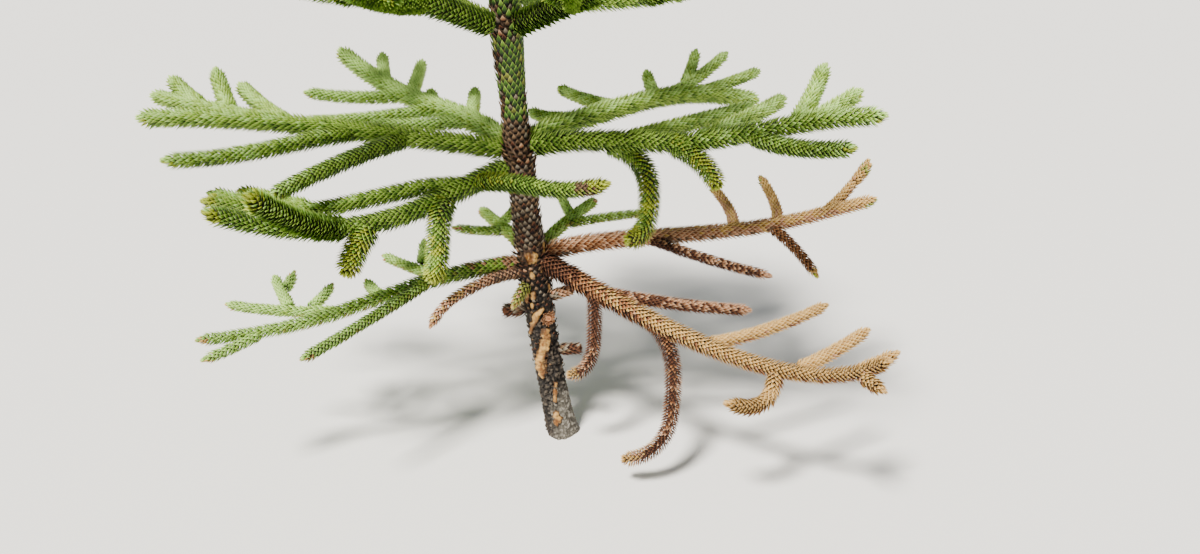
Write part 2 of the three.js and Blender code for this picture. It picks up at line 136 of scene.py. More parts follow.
# %% Floor and light
FLOOR_HALF = 90  # metres, so that its edge stays above the picture
SKY_STRENGTH = 0.36
SUN_STRENGTH, SUN_WIDTH = 9.2, 12  # its width in degrees makes the shadows' edges soft
SUN_FROM_FRONT, SUN_FROM_LEFT = 27, 20  # degrees from straight above
bpy.ops.mesh.primitive_plane_add(size=2 * FLOOR_HALF, location=(0, 0, 0))
floor = bpy.context.object
floor.name = "studio_floor"
paper, tree, shader = blank_material("seamless_paper_matt")
grain = add(tree, "TexNoise", {"Scale": 3.0, "Detail": 2.0})
tone = add(tree, "Mix", {0: grain.outputs["Fac"], 6: linear("#efeeea"), 7: linear("#f5f4f1")},
           data_type="RGBA")
tree.links.new(tone.outputs[2], shader.inputs["Base Color"])
shader.inputs["Roughness"].default_value = 0.95
floor.data.materials.append(paper)
floor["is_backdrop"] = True

world = bpy.data.worlds.new("studio_light")
world.use_nodes = True
world.node_tree.nodes["Background"].inputs["Color"].default_value = linear("#e9eef4")
world.node_tree.nodes["Background"].inputs["Strength"].default_value = SKY_STRENGTH
bpy.context.scene.world = world

bpy.ops.object.light_add(type="SUN", rotation=(math.radians(SUN_FROM_FRONT),
                                               math.radians(-SUN_FROM_LEFT), 0))
sun = bpy.context.object
sun.name = "broad_sun"
sun.data.energy = SUN_STRENGTH
sun.data.angle = math.radians(SUN_WIDTH)
sun.data.color = linear("#fffaf2")[:3]
print("floor:", 2 * FLOOR_HALF, "m across")

# %% [markdown]
# ## How the tree grows
#
# A bough or a shoot is a line that the plant grows along. It sets out on a bearing, turns by
# its curl along the way and rises or dips by its list of slopes. The line is walked in short
# straight bits, exactly as the solids were, so the leaves come to lie where the solids are.
# Lengths in the tables are millimetres and angles are degrees.

# %% The line of a bough or shoot
MM = 0.001
PATH_STEP = 20  # length of the straight bits
UP = np.array((0.0, 0.0, 1.0))


def along(values, share):
    """The value at a share of the way along an evenly spaced list."""
    return np.interp(share, np.linspace(0, 1, len(values)), values)


class Axis:
    """A growing line with forward, left and up directions at any distance."""

    def __init__(self, start, bearing, length, lift, curl=0):
        self.length, self.bearing, self.lift, self.curl = length, bearing, lift, curl
        self.steps = max(3, int(length / PATH_STEP + 0.5))
        forward = self.directions((np.arange(self.steps) + 0.5) / self.steps)[0]
        strides = np.cumsum(forward * (length / self.steps), axis=0)
        self.points = np.asarray(start, float) + np.vstack([np.zeros(3), strides])

    def directions(self, share):
        heading = np.radians(self.bearing + self.curl * np.asarray(share, float))
        pitch = np.radians(along(self.lift, share))
        level = np.cos(pitch)
        forward = np.stack([level * np.cos(heading), level * np.sin(heading), np.sin(pitch)], -1)
        left = np.stack([-np.sin(heading), np.cos(heading), np.zeros_like(heading)], -1)
        return forward, left, np.cross(forward, left)

    def at(self, distance):
        """Points and directions at distances from the start, in millimetres."""
        distance = np.asarray(distance, float)
        place = np.clip(distance / self.length * self.steps, 0, self.steps)
        index = np.arange(self.steps + 1)
        point = np.stack([np.interp(place, index, self.points[:, axis]) for axis in range(3)], -1)
        return (point, *self.directions(distance / self.length))


def side_axis(parent, shoot):
    """The line of a side shoot on its parent's line."""
    start = parent.at([shoot["at"]])[0][0]
    bearing = parent.bearing + parent.curl * shoot["at"] / parent.length + shoot["turn"]
    return Axis(start, bearing, shoot["length"], shoot["lift"], shoot["curl"])


# %% [markdown]
# ## The trunk's own sizes
#
# The trunk leans to the left low down and straightens higher up. It thins slowly, swells in a
# collar where boughs leave it, and spreads into the beginnings of three roots at the ground.

# %% Trunk line and radius
TRUNK_TOP = 2600
LEAN, LEAN_HEIGHT = 205, 1150
FOOT_RADIUS, TRUNK_TAPER = 51.5, 0.0075
FLARE, FLARE_HEIGHT, FLARE_LOBES, FLARE_DEPTH, FLARE_BEARING = 15, 45, 3, 0.4, 20
COLLARS = [  # height, swell, spread
    (560, 5, 110), (960, 3, 60), (1320, 9, 120), (1730, 6, 45), (2090, 5, 40), (2420, 4, 40),
]


def trunk_line(height):
    """How far left of the foot the trunk's middle is."""
    return -LEAN * (1 - np.exp(-np.asarray(height, float) / LEAN_HEIGHT))


def trunk_radius(height):
    """Radius over the leaf scales, without the flare of the foot."""
    height = np.asarray(height, float)
    swells = sum(swell * np.exp(-(((height - at) / spread) ** 2)) for at, swell, spread in COLLARS)
    return FOOT_RADIUS - TRUNK_TAPER * height + swells


def flare(height, bearing):
    """How much further the foot reaches, in degrees round the trunk."""
    lobe = np.cos(FLARE_LOBES * np.radians(bearing - FLARE_BEARING))
    return FLARE * np.exp(-height / FLARE_HEIGHT) * (1 - FLARE_DEPTH + FLARE_DEPTH * lobe)


def bough_axis(bough):
    start = (float(trunk_line(bough["height"])), 0, bough["height"])
    return Axis(start, bough["bearing"], bough["length"], bough["lift"], bough.get("curl", 0))


# %% [markdown]
# ## The boughs that the photograph shows
#
# Each row is one bough: its height on the trunk, its bearing (0 is right, 90 away, 180 left,
# 270 towards the camera), its length, the length of limb before its mass of foliage, its coat
# of leaves and its slopes. Its side shoots follow. A coat on a shoot overrides the bough's.

# %% Table of the boughs that show
def side(at, turn, length, lift, curl=0, shoots=(), coat=None, girth=1):
    return {"at": at, "turn": turn, "length": length, "lift": lift, "curl": curl,
            "shoots": shoots, "coat": coat, "girth": girth}


def bough(name, height, bearing, length, stem, coat, lift, shoots, girth=1, tip_girth=None,
          curl=0):
    return {"name": name, "height": height, "bearing": bearing, "length": length, "curl": curl,
            "stem": stem, "coat": coat, "lift": lift, "shoots": shoots, "girth": girth,
            "tip_girth": tip_girth or girth}


SEEN_BOUGHS = [
    bough("middle_right", 985, -12, 1070, 190, "green", [18, 2, 0, 13, 12, 3], [
        side(276, 46, 412, [-22, -32, -54, -88, -60, -4], curl=-210, coat="droop", girth=1.5),
        side(330, 42, 500, [8, 6]),
        side(462, -6, 210, [-14, -30, -45, -75], coat="droop", girth=1.45),
        side(540, 50, 400, [8, 18]),
        side(690, -24, 325, [-16, 0, 14]),
        side(830, 70, 270, [20, 45]),
        side(850, 42, 230, [12, 26]),
    ]),
    bough("middle_right_back", 990, 32, 980, 160, "green_pale", [30, 8, 10, 2, -8, -12], [
        side(210, 100, 230, [0, -5, 15], girth=0.8),
        side(380, 92, 370, [0, 2, 10], girth=0.8),
        side(530, 68, 170, [15, 35], girth=0.8),
        side(570, 8, 320, [14, 32], shoots=[side(90, 30, 190, [20, 50])], girth=0.8),
        side(690, 8, 340, [6, 12], girth=0.8),
    ]),
    bough("middle_left_back", 985, 145, 840, 155, "pale", [28, 15, 8, 14, 22, 30], [
        side(200, 42, 320, [-5, 2], girth=0.85),
        side(210, -52, 235, [5, 28], girth=0.85),
        side(340, 45, 430, [-8, 0], girth=0.85),
        side(370, -40, 120, [5, 30], girth=0.85),
        side(490, -56, 260, [8, 32], girth=0.85),
        side(500, 38, 330, [-6, 10], girth=0.85),
        side(610, -42, 200, [12, 36], girth=0.85),
    ]),
    bough("middle_left", 975, 180, 1150, 260, "green", [12, 6, 7, 6, 2, -1], [
        side(330, 45, 470, [-7, -18]),
        side(480, 28, 550, [-2, -8, -4, 6]),
        side(700, -42, 300, [8, 28]),
        side(740, -20, 475, [5, 9], shoots=[
            side(165, -38, 220, [16, 50]), side(270, -18, 200, [14, 32]),
        ]),
    ]),
    bough("middle_left_front", 945, 212, 930, 105, "gold_tipped", [-12, -20, -13, 2, 16, 28], [
        side(165, 118, 440, [12, -6, 20], curl=18, coat="banded"),
        side(180, -19, 750, [6, -10, -10, 8, 16], shoots=[
            side(450, -28, 250, [6, 12]), side(530, -20, 230, [8, 14]),
        ]),
        side(260, 50, 265, [-30, -78, -86, -60], curl=-70, coat="droop", girth=1.55),
        side(492, 14, 165, [-40, -55, -66], coat="droop", girth=1.65),
        side(560, 24, 330, [10, 30, 42], girth=1.3),
    ]),
    bough("low_left", 625, 199, 1020, 220, "olive", [0, -6, -14, -14, -4, 2], [
        side(280, -56, 300, [-5, 8], shoots=[side(115, -50, 130, [20, 45])], girth=0.8),
        side(330, 34, 480, [-13, -8], girth=0.8),
        side(480, -75, 150, [-10, 16], girth=0.8),
        side(610, -32, 400, [-8, 4], shoots=[
            side(120, -95, 150, [5, 25]),
            side(170, -46, 240, [5, 15], shoots=[side(130, -40, 100, [10, 40])]),
        ], girth=0.8),
        side(830, 14, 190, [-20, -10], girth=0.8),
    ], girth=0.85, tip_girth=0.65),
    bough("low_left_front", 585, 214, 405, 150, "brown", [14, -6, -20, -60], [], girth=0.58),
    bough("low_front", 572, 250, 140, 0, "tuft", [-5, -35, -60], [], girth=0.75, curl=-35),
    bough("low_right", 640, 12, 1200, 300, "pink", [15, 2, 0, 3, 11, 11], [
        side(380, -38, 430, [-14, -4], coat="purple_brown", girth=0.85),
        side(680, 62, 300, [8, 25], curl=50, girth=0.75),
        side(810, -50, 240, [-25, -50], coat="rusty", girth=0.9),
        side(840, 62, 290, [10, 30], curl=40, girth=0.75),
        side(1010, 25, 270, [20, 50], shoots=[side(150, -30, 100, [45, 55])], girth=0.75),
    ], girth=0.8, tip_girth=0.68),
    bough("low_right_front", 650, -28, 1180, 185, "dead", [-20, -20, -16, -10, 6, 40], [
        side(240, -42, 330, [-50, -85, -88, -60, 5], curl=-120, coat="dark_droop", girth=0.92),
        side(260, 35, 500, [-14, -6], coat="purple_brown", girth=0.75),
        side(418, 14, 568, [-26, -50, -75, -82, -38, -8], curl=-188, coat="dark_droop"),
        side(630, 52, 450, [-2, 16], girth=0.72),
        side(855, -75, 225, [-30, -60, -15, 10, 15], curl=-90, girth=0.88),
        side(900, 58, 300, [6, 20], girth=0.75),
        side(1060, 40, 150, [10, 30], girth=0.75),
        side(1080, -30, 100, [-10, -6], girth=0.75),
    ], girth=1.05, tip_girth=0.72),
    bough("low_right_back", 640, 60, 420, 150, "olive_fresh", [20, 12, 5], [
        side(200, -46, 290, [8, 0]), side(260, 50, 160, [10, 30]),
    ], girth=0.66),
    bough("low_left_back", 640, 120, 420, 140, "olive_fresh", [16, 4, 6], [
        side(190, 46, 200, [-6, 4]), side(250, -48, 200, [6, 20]),
    ], girth=0.66),
]
print(len(SEEN_BOUGHS), "boughs that show")

# %% [markdown]
# ## The boughs above the photograph
#
# The picture cuts the tree off at its third whorl. The crown goes on by a rule: pairs of side
# shoots at even distances, each pair shorter than the last, with small differences dealt by a
# fixed sequence of numbers. It is the rule of the solids, written again with the same sizes
# and the same order of deals, so both grow the same crown. Here it is carried one step
# further: longer side shoots bear young twigs of their own.

# %% Rule for the boughs above
# In a pair of numbers the first is the least value and the second what a deal adds at most.
LEVELLING = [1, 0.85, 0.9, 0.5]  # slopes along a bough against its rise
HEIGHT_SPREAD = 16
LENGTH_SHARE = (0.94, 0.12)
HIDDEN_WHORLS = [  # word, height, bearings, length, limb before the foliage, rise
    ("upper", 1338, [34, 94, 150, 216, 320], 1020, 225, 20),
    ("high", 1730, [46, 118, 190, 262, 334], 850, 190, 20),
    ("top", 2090, [10, 82, 154, 226, 298], 650, 0, 22),
    ("crest", 2420, [60, 150, 240, 330], 430, 0, 30),
]
PAIR_FIRST, PAIR_AFTER_STEM, PAIR_GAP, PAIR_STAGGER = (175, 25), 40, (185, 40), 24
PAIR_TURN, PAIR_SHARE, PAIR_EXTRA = (40, 14), (0.46, 0.14), 60
PAIR_LIFT, PAIR_TIP_LIFT = (-6, 8), (6, 16)
PAIR_END, PAIR_TRIES, PAIR_MARGIN = 90, (1, 0.8, 0.6), 37


def dealer(seed):
    """A dealer of repeatable numbers from 0 to 1, the same as the solids used."""
    modulus = 2147483647
    state = seed * 7919 % modulus

    def deal():
        nonlocal state
        state = state * 48271 % modulus
        return state / modulus

    deal()
    deal()
    return deal


def side_word(bearing):
    words = ["right", "right_back", "back", "left_back", "left", "left_front", "front",
             "right_front"]
    return words[int((bearing % 360) / 45 + 0.5) % 8]


def paired_shoots(row, axis, room_left, room_right):
    """Side shoots in pairs that stay in the bough's own wedge round the trunk."""
    deal = dealer(row["seed"])

    def pick(pair):
        return pair[0] + pair[1] * deal()

    origin_x = float(trunk_line(row["height"]))
    shoots = []
    at = max(pick(PAIR_FIRST), row["stem"] + PAIR_AFTER_STEM)
    while at < row["length"] - PAIR_END:
        for hand in (1, -1):
            turn = hand * pick(PAIR_TURN)
            full = pick(PAIR_SHARE) * (row["length"] - at) + PAIR_EXTRA
            lift = [pick(PAIR_LIFT), pick(PAIR_TIP_LIFT)]
            here = at + (PAIR_STAGGER * deal() if hand < 0 else 0)
            room = room_left if hand > 0 else room_right
            for share in PAIR_TRIES:
                shoot = side(here, turn, full * share, lift)
                tip_x, tip_y = side_axis(axis, shoot).points[-1][:2] - (origin_x, 0)
                swing = hand * (math.atan2(tip_y, tip_x) - math.radians(row["bearing"]))
                angle = math.radians(room) - math.atan2(math.sin(swing), math.cos(swing))
                if math.hypot(tip_x, tip_y) * math.sin(angle) > PAIR_MARGIN:
                    shoots.append(shoot)
                    break
        at += pick(PAIR_GAP)
    return shoots


def hidden_boughs(word, height, bearings, length, stem, rise):
    made = []
    for index, bearing in enumerate(bearings):
        deal = dealer(height + index)
        after = bearings[(index + 1) % len(bearings)] + (360 if index == len(bearings) - 1 else 0)
        before = bearings[index - 1] - (360 if index == 0 else 0)
        row = bough(f"{word}_{side_word(bearing)}", height + HEIGHT_SPREAD * (deal() - 0.5),
                    bearing, 0, stem, "green", [rise * share for share in LEVELLING], [])
        row["length"] = length * (LENGTH_SHARE[0] + LENGTH_SHARE[1] * deal())
        row["seed"] = height + index
        row["shoots"] = paired_shoots(
            row, bough_axis(row), (after - bearing) / 2, (bearing - before) / 2)
        made.append(row)
    return made


hidden = [row for whorl in HIDDEN_WHORLS for row in hidden_boughs(*whorl)]
print(len(hidden), "boughs above, with", sum(len(row["shoots"]) for row in hidden), "side shoots")

# %% [markdown]
# ## All stems in one list
#
# A stem here is any line that bears leaves. The list is made by walking each bough and its
# side shoots. `path` tells how far from the trunk a stem begins, as a share of the way to
# its tip, because the colour of the foliage changes from old wood to young tips.

# %% Walk the tree
AXIS_RADIUS = (39, 31)  # to the leaf points, at the root and the tip of a bough
SHOOT_RADIUS = (31, 26)
BOUGH_INSET, STUMP_INSET = 5, 8  # how far inside the trunk's scales their leaves begin
SHOOT_BARE = 14  # length of a side shoot before its own leaves begin
LEADER_LENGTH, LEADER_LIFT = 400, [90, 88]
LEADER_SHOOTS_AT, LEADER_SHOOTS, LEADER_SHOOT_LENGTH = 110, 4, 210
LEADER_SHOOT_LIFT, LEADER_SHOOT_BEARING = [30, 55], 15
TRUNK_GAP = 0.3  # between the trunk's top and the leader, as in the solids
YOUNG_TWIG = {"from": 300, "places": (0.38, 0.56), "share": 0.34, "extra": 40, "turn": 44,
              "lift": [4, 26]}

stems = []


def thickened(radius, girth, tip_girth=None):
    """A pair of radii made stouter or slimmer, at the tip by another share if one is given."""
    return radius[0] * girth, radius[1] * (tip_girth or girth)


def grow(axis, shoots, radius, coat, level, nodes, path=0.0, start=0.0, order=0, girth=1):
    """Lists a stem and everything that branches from it."""
    stems.append({"axis": axis, "radius": radius, "coat": coat, "level": level, "nodes": nodes,
                  "path": path, "start": start, "order": order})
    for shoot in shoots:
        here = path + (1 - path) * shoot["at"] / axis.length
        size = girth * shoot["girth"]
        grow(side_axis(axis, shoot), shoot["shoots"], thickened(SHOOT_RADIUS, size),
             shoot["coat"] or coat, level, nodes, here, SHOOT_BARE, order + 1, size)


def with_young_twigs(shoot, index):
    """Gives a longer side shoot a pair of short twigs, inside its own reach."""
    if shoot["length"] < YOUNG_TWIG["from"]:
        return shoot
    twigs = []
    for hand, place in zip((1, -1) if index % 2 else (-1, 1), YOUNG_TWIG["places"]):
        at = place * shoot["length"]
        length = YOUNG_TWIG["share"] * (shoot["length"] - at) + YOUNG_TWIG["extra"]
        twigs.append(side(at, hand * YOUNG_TWIG["turn"], length, YOUNG_TWIG["lift"]))
    return {**shoot, "shoots": twigs}


for row in SEEN_BOUGHS + hidden:
    word = row["name"].split("_")[0]
    level = {"crest": "top"}.get(word, word)
    nodes = [f"foliage_{row['name']}"] + ([f"bough_{row['name']}"] if row["stem"] else [])
    shoots = row["shoots"]
    if "seed" in row:
        shoots = [with_young_twigs(shoot, index) for index, shoot in enumerate(shoots)]
    root = float(trunk_radius(row["height"])) - BOUGH_INSET
    radius = thickened(AXIS_RADIUS if row["stem"] else SHOOT_RADIUS, row["girth"],
                       row["tip_girth"])
    grow(bough_axis(row), shoots, radius, row["coat"], level, nodes, start=root,
         girth=row["girth"])

leader_axis = Axis((float(trunk_line(TRUNK_TOP)), 0, TRUNK_TOP + TRUNK_GAP), 180,
                   LEADER_LENGTH, LEADER_LIFT)
leader_shoots = [
    side(LEADER_SHOOTS_AT, LEADER_SHOOT_BEARING + 360 * index / LEADER_SHOOTS,
         LEADER_SHOOT_LENGTH, LEADER_SHOOT_LIFT)
    for index in range(LEADER_SHOOTS)
]
grow(leader_axis, leader_shoots, SHOOT_RADIUS, "green", "top", ["foliage_leader"])

STUMPS = [  # word, height, bearing, length, slopes, radius of the broken end, coat
    ("left", 458, 195, 112, [6, 0], 23, "stump"),
    ("right", 492, -20, 122, [22, 22], 17, "stump_pale"),
    ("right_low", 308, -12, 114, [10, 8], 19, "stump"),
]
STUMP_SPREAD = 1.25  # a stump's root against its broken end
stump_axes = {}
for word, height, bearing, length, lift, radius, coat in STUMPS:
    stump_axes[word] = bough_axis({"height": height, "bearing": bearing, "length": length,
                                   "lift": lift})
    grow(stump_axes[word], [], (radius * STUMP_SPREAD, radius), coat,
         "trunk", ["stump_" + word], start=float(trunk_radius(height)) - STUMP_INSET)

total_length = sum(stem["axis"].length for stem in stems) * MM
print(len(stems), "stems,", round(total_length, 1), "m in all")

# %% [markdown]
# ## Kinds of leaves
#
# A monkey puzzle leaf is a stiff, sharp blade like a small lance head, leathery and half
# matt when alive, with a pale horny edge, and dry and papery when dead. The photograph shows
# deep and yellowish greens, bluish pale ones at the back and on young tips, olive ones that
# are failing, and dead ones from near black through rust to bleached straw. Each kind gets a
# blade material of two near shades and a paler one for the horny edge. The shades are dealt
# out leaf by leaf, and the kinds spray by spray. The foot of a leaf stands in the shade of its
# neighbours, so each material darkens there.

# %% Leaf materials
# They are listed from the darkest to the palest, as the top of a shoot draws paler ones:
# painted light from above, and on dead leaves also real bleaching by the sun.
KINDS = {  # kind: (record's slot, darker blade, lighter blade, horny edge, roughness)
    "deep": ("leaves_green", "#24460a", "#4a741a", "#94b24c", 0.56),
    "dark": ("leaves_rust", "#1c0a05", "#3e1b0d", "#8a5c40", 0.84),
    "umber": ("stump_wood", "#43301f", "#785c43", "#94795c", 0.88),
    "rust": ("leaves_rust", "#5c2c12", "#8c542c", "#c49468", 0.82),
    "olive": ("leaves_olive", "#5c641a", "#8b9134", "#c8c868", 0.62),
    "green": ("leaves_green", "#467012", "#7aa62c", "#c0d668", 0.58),
    "grey": ("stump_wood", "#5a4d3f", "#877a68", "#a0937f", 0.88),
    "fresh": ("leaves_green", "#5e7212", "#9cac22", "#d4da54", 0.58),
    "pink": ("leaves_straw", "#84502f", "#b67f5c", "#e2bc94", 0.82),
    "straw": ("leaves_straw", "#946628", "#ca9c50", "#eccb8c", 0.82),
    "pale": ("leaves_pale", "#6c9e2e", "#a0d05c", "#d6ee92", 0.60),
}
FOOT_SHADE = 0.04  # light that reaches the foot of a leaf between its neighbours
FOOT_RANGE = (0.2, 0.7)  # part of a leaf's length over which it comes into the light
HORN_RANGE, HORN_MOST = (0.6, 1.0), 0.85  # nearness to the edge that turns horny, and how much
MOTTLING = 0.9  # how far fine noise moves a leaf's own shade
ROUGH_BELOW, ROUGH_ABOVE = 0.08, 0.1  # how far the grain moves the roughness
LEATHER_SHEEN = 0.3


def dimmed(hex_colour, share):
    """The same colour with less light."""
    return (*[share * value for value in linear(hex_colour)[:3]], 1.0)


def leaf_material(name, darker, lighter, edge, roughness):
    """Leathery blade with a horny edge: near shades by leaf, fine mottling, a slight grain."""
    material, tree, shader = blank_material(name)
    place = add(tree, "TexCoord").outputs["Object"]
    shade, edge_value, outer_value = (add(tree, "Attribute", attribute_name=word).outputs["Fac"]
                                      for word in ("shade", "edge", "outer"))
    mottle = add(tree, "TexNoise", {"Vector": place, "Scale": 95.0, "Detail": 2.0})  # 10 mm
    spread = add(tree, "Math", {0: mottle.outputs["Fac"], 1: 0.5}, operation="SUBTRACT")
    factor = add(tree, "Math", {0: spread.outputs[0], 1: MOTTLING, 2: shade},
                 operation="MULTIPLY_ADD")
    blade = add(tree, "Mix", {0: factor.outputs[0], 6: linear(darker), 7: linear(lighter)},
                data_type="RGBA")
    horn = add(tree, "MapRange", {"Value": edge_value, 1: HORN_RANGE[0], 2: HORN_RANGE[1],
                                  4: HORN_MOST})
    rimmed = add(tree, "Mix", {0: horn.outputs[0], 6: blade.outputs[2], 7: linear(edge)},
                 data_type="RGBA")
    reach = add(tree, "MapRange", {"Value": outer_value, 1: FOOT_RANGE[0], 2: FOOT_RANGE[1]})
    colour = add(tree, "Mix", {0: reach.outputs[0], 6: dimmed(darker, FOOT_SHADE),
                               7: rimmed.outputs[2]}, data_type="RGBA")
    tree.links.new(colour.outputs[2], shader.inputs["Base Color"])
    grain = add(tree, "TexNoise", {"Vector": place, "Scale": 420.0, "Detail": 1.0})  # 2 mm
    rough = add(tree, "MapRange", {0: grain.outputs["Fac"], 3: roughness - ROUGH_BELOW,
                                   4: roughness + ROUGH_ABOVE})
    tree.links.new(rough.outputs[0], shader.inputs["Roughness"])
    shader.inputs["Specular IOR Level"].default_value = LEATHER_SHEEN
    bump = add(tree, "Bump", {"Height": grain.outputs["Fac"], "Strength": 0.25,
                              "Distance": 0.0006})
    tree.links.new(bump.outputs[0], shader.inputs["Normal"])
    return material


leaf_materials = {
    kind: leaf_material(f"{kind}_leaf_leathery", *tones) for kind, (_, *tones) in KINDS.items()
}
print(len(leaf_materials), "kinds of leaves")

# %% [markdown]
# ## Coats
#
# A coat says how likely each kind is along the way from the trunk (0) to a tip (1), and what
# the last leaves round the bud are.

# %% Coats of leaves
COATS = {
    "green": ([(0, {"deep": 3, "green": 7}), (0.5, {"deep": 3, "green": 7}),
               (1, {"green": 5, "pale": 5})], {"pale": 8, "fresh": 2}),
    "green_pale": ([(0, {"deep": 4, "green": 6}), (0.5, {"deep": 1, "green": 7, "pale": 2}),
                    (1, {"deep": 1, "green": 4, "pale": 5})], {"pale": 8, "fresh": 2}),
    "pale": ([(0, {"green": 5, "pale": 5}), (0.5, {"green": 3, "pale": 7}),
              (1, {"green": 1, "pale": 9})], {"pale": 9, "fresh": 1}),
    "gold_tipped": ([(0, {"deep": 5, "green": 5}), (0.5, {"deep": 4, "green": 6}),
                     (1, {"deep": 1, "green": 7, "pale": 2})], {"fresh": 7, "pale": 3}),
    "droop": ([(0, {"deep": 6, "green": 4}), (0.5, {"deep": 5, "green": 4, "fresh": 1}),
               (1, {"deep": 1, "green": 3, "fresh": 6})], {"fresh": 9, "olive": 1}),
    "banded": ([(0, {"fresh": 5, "green": 5}), (0.25, {"fresh": 3, "green": 6, "deep": 1}),
                (0.45, {"deep": 5, "green": 5}), (0.78, {"deep": 4, "green": 6}),
                (0.87, {"olive": 4, "umber": 6}), (0.92, {"fresh": 10}),
                (1, {"fresh": 10})], {"fresh": 10}),
    "olive": ([(0, {"pink": 5, "umber": 5}), (0.1, {"olive": 4, "green": 5, "pink": 1}),
               (0.2, {"deep": 3, "green": 5, "olive": 2}),
               (0.5, {"green": 6, "olive": 1, "pale": 3}), (0.8, {"pale": 7, "green": 3}),
               (1, {"pale": 9, "green": 1})], {"pale": 6, "straw": 4}),
    "olive_fresh": ([(0, {"olive": 3, "green": 7}), (1, {"green": 6, "pale": 4})],
                    {"pale": 7, "pink": 3}),
    "tuft": ([(0, {"olive": 8, "pink": 2}), (1, {"olive": 9, "fresh": 1})],
             {"olive": 7, "straw": 3}),
    "brown": ([(0, {"umber": 5, "pink": 5}), (0.5, {"pink": 7, "umber": 3}),
               (1, {"pink": 7, "straw": 3})], {"pink": 5, "straw": 5}),
    "pink": ([(0, {"grey": 4, "rust": 4, "pink": 2}), (0.12, {"rust": 6, "pink": 4}),
              (0.26, {"rust": 5, "pink": 5}), (0.34, {"pink": 8, "umber": 2}),
              (0.7, {"pink": 7, "straw": 3}), (0.92, {"straw": 8, "pink": 2}),
              (1, {"straw": 7, "olive": 3})], {"straw": 5, "olive": 5}),
    "rusty": ([(0, {"rust": 7, "dark": 3}), (1, {"rust": 8, "dark": 2})], {"straw": 6, "fresh": 4}),
    "dead": ([(0, {"dark": 10}), (0.12, {"dark": 10}), (0.18, {"rust": 8, "dark": 2}),
              (0.3, {"rust": 7, "straw": 2, "dark": 1}), (0.45, {"straw": 7, "rust": 2, "pink": 1}),
              (1, {"straw": 9, "pink": 1})], {"straw": 10}),
    "dark_droop": ([(0, {"dark": 10}), (0.6, {"dark": 9, "rust": 1}),
                    (0.85, {"dark": 7, "pink": 3}), (1, {"straw": 4, "pink": 6})],
                   {"straw": 7, "pink": 3}),
    "purple_brown": ([(0, {"dark": 8, "pink": 2}), (1, {"dark": 6, "pink": 4})],
                     {"pink": 10}),
    "stump": ([(0, {"dark": 4, "umber": 3, "grey": 3})], {"dark": 7, "grey": 3}),
    "stump_pale": ([(0, {"grey": 4, "pink": 4, "umber": 2}), (1, {"grey": 4, "pink": 6})],
                   {"pink": 10}),
}
KIND_ORDER = list(KINDS)
NUMBER = {kind: number for number, kind in enumerate(KIND_ORDER)}
PATCH = 42  # millimetres of shoot that tend to be of one kind
TIP_ZONE = 42  # millimetres of leaves round the bud
PATCH_SHARE = 0.35  # of the leaves follow their patch, the others go their own way
TOP_PAINTED_LIGHT_AND_BLEACH = 0.36  # draw moved to paler kinds on top of a shoot: painted light, and real bleaching when dead
DRAW_RANGE = (1e-6, 0.999)  # keeps a moved draw off the kinds that have no share


def weights_of(mix):
    return np.array([mix.get(kind, 0) for kind in KIND_ORDER], float)


def deal_kinds(coat, path, to_tip, facing_up, patch_draw, own_draw, follows):
    """A kind for each leaf, as a number in KIND_ORDER."""
    stops, bud = COATS[coat]
    table = np.array([weights_of(mix) / sum(mix.values()) for _, mix in stops])
    places = [place for place, _ in stops]
    weights = np.stack([np.interp(path, places, table[:, k]) for k in range(len(KIND_ORDER))], -1)
    bud_weights = weights_of(bud) / sum(bud.values())
    weights = np.where((to_tip < TIP_ZONE)[:, None], bud_weights, weights)
    limits = np.cumsum(weights, axis=1)
    # Painted light: leaves that face up draw paler kinds, as if lit from above; on dead coats it is
    # also real bleaching.
    draw = np.where(follows, patch_draw, own_draw) + TOP_PAINTED_LIGHT_AND_BLEACH * facing_up
    draw = np.clip(draw, *DRAW_RANGE)
    return (draw[:, None] > limits).sum(1)


print(len(COATS), "coats")

# %% [markdown]
# ## One leaf, modelled
#
# The leaf starts as a section across its broadest place: flat on the side that faces the shoot,
# with a low keel outside. It is extruded and merged into its sharp tip. The open end is closed
# and extruded back to the base. Tens of thousands of copies follow, so the leaf of the shoots
# has a section of only three corners, and it begins in a point that its neighbours hide. The
# broad scales of the trunk are fewer. They keep a base and get a bevelled rim, so five corners.
# Every face corner also keeps how near it is to the leaf's edge, for the pale horny line there,
# and every point how far out along the leaf it lies.

# %% Model the leaf and the scale
SHARP_END = -0.2  # how far a sharp end lies towards the keel, in thicknesses
INNER_LIMIT = -0.3  # a face without corners beyond this looks at the shoot
INNER_EDGE = 0.45  # how near the edge such a face counts as being
EDGE_CURVE = 1.5  # a higher value keeps the horny line narrower


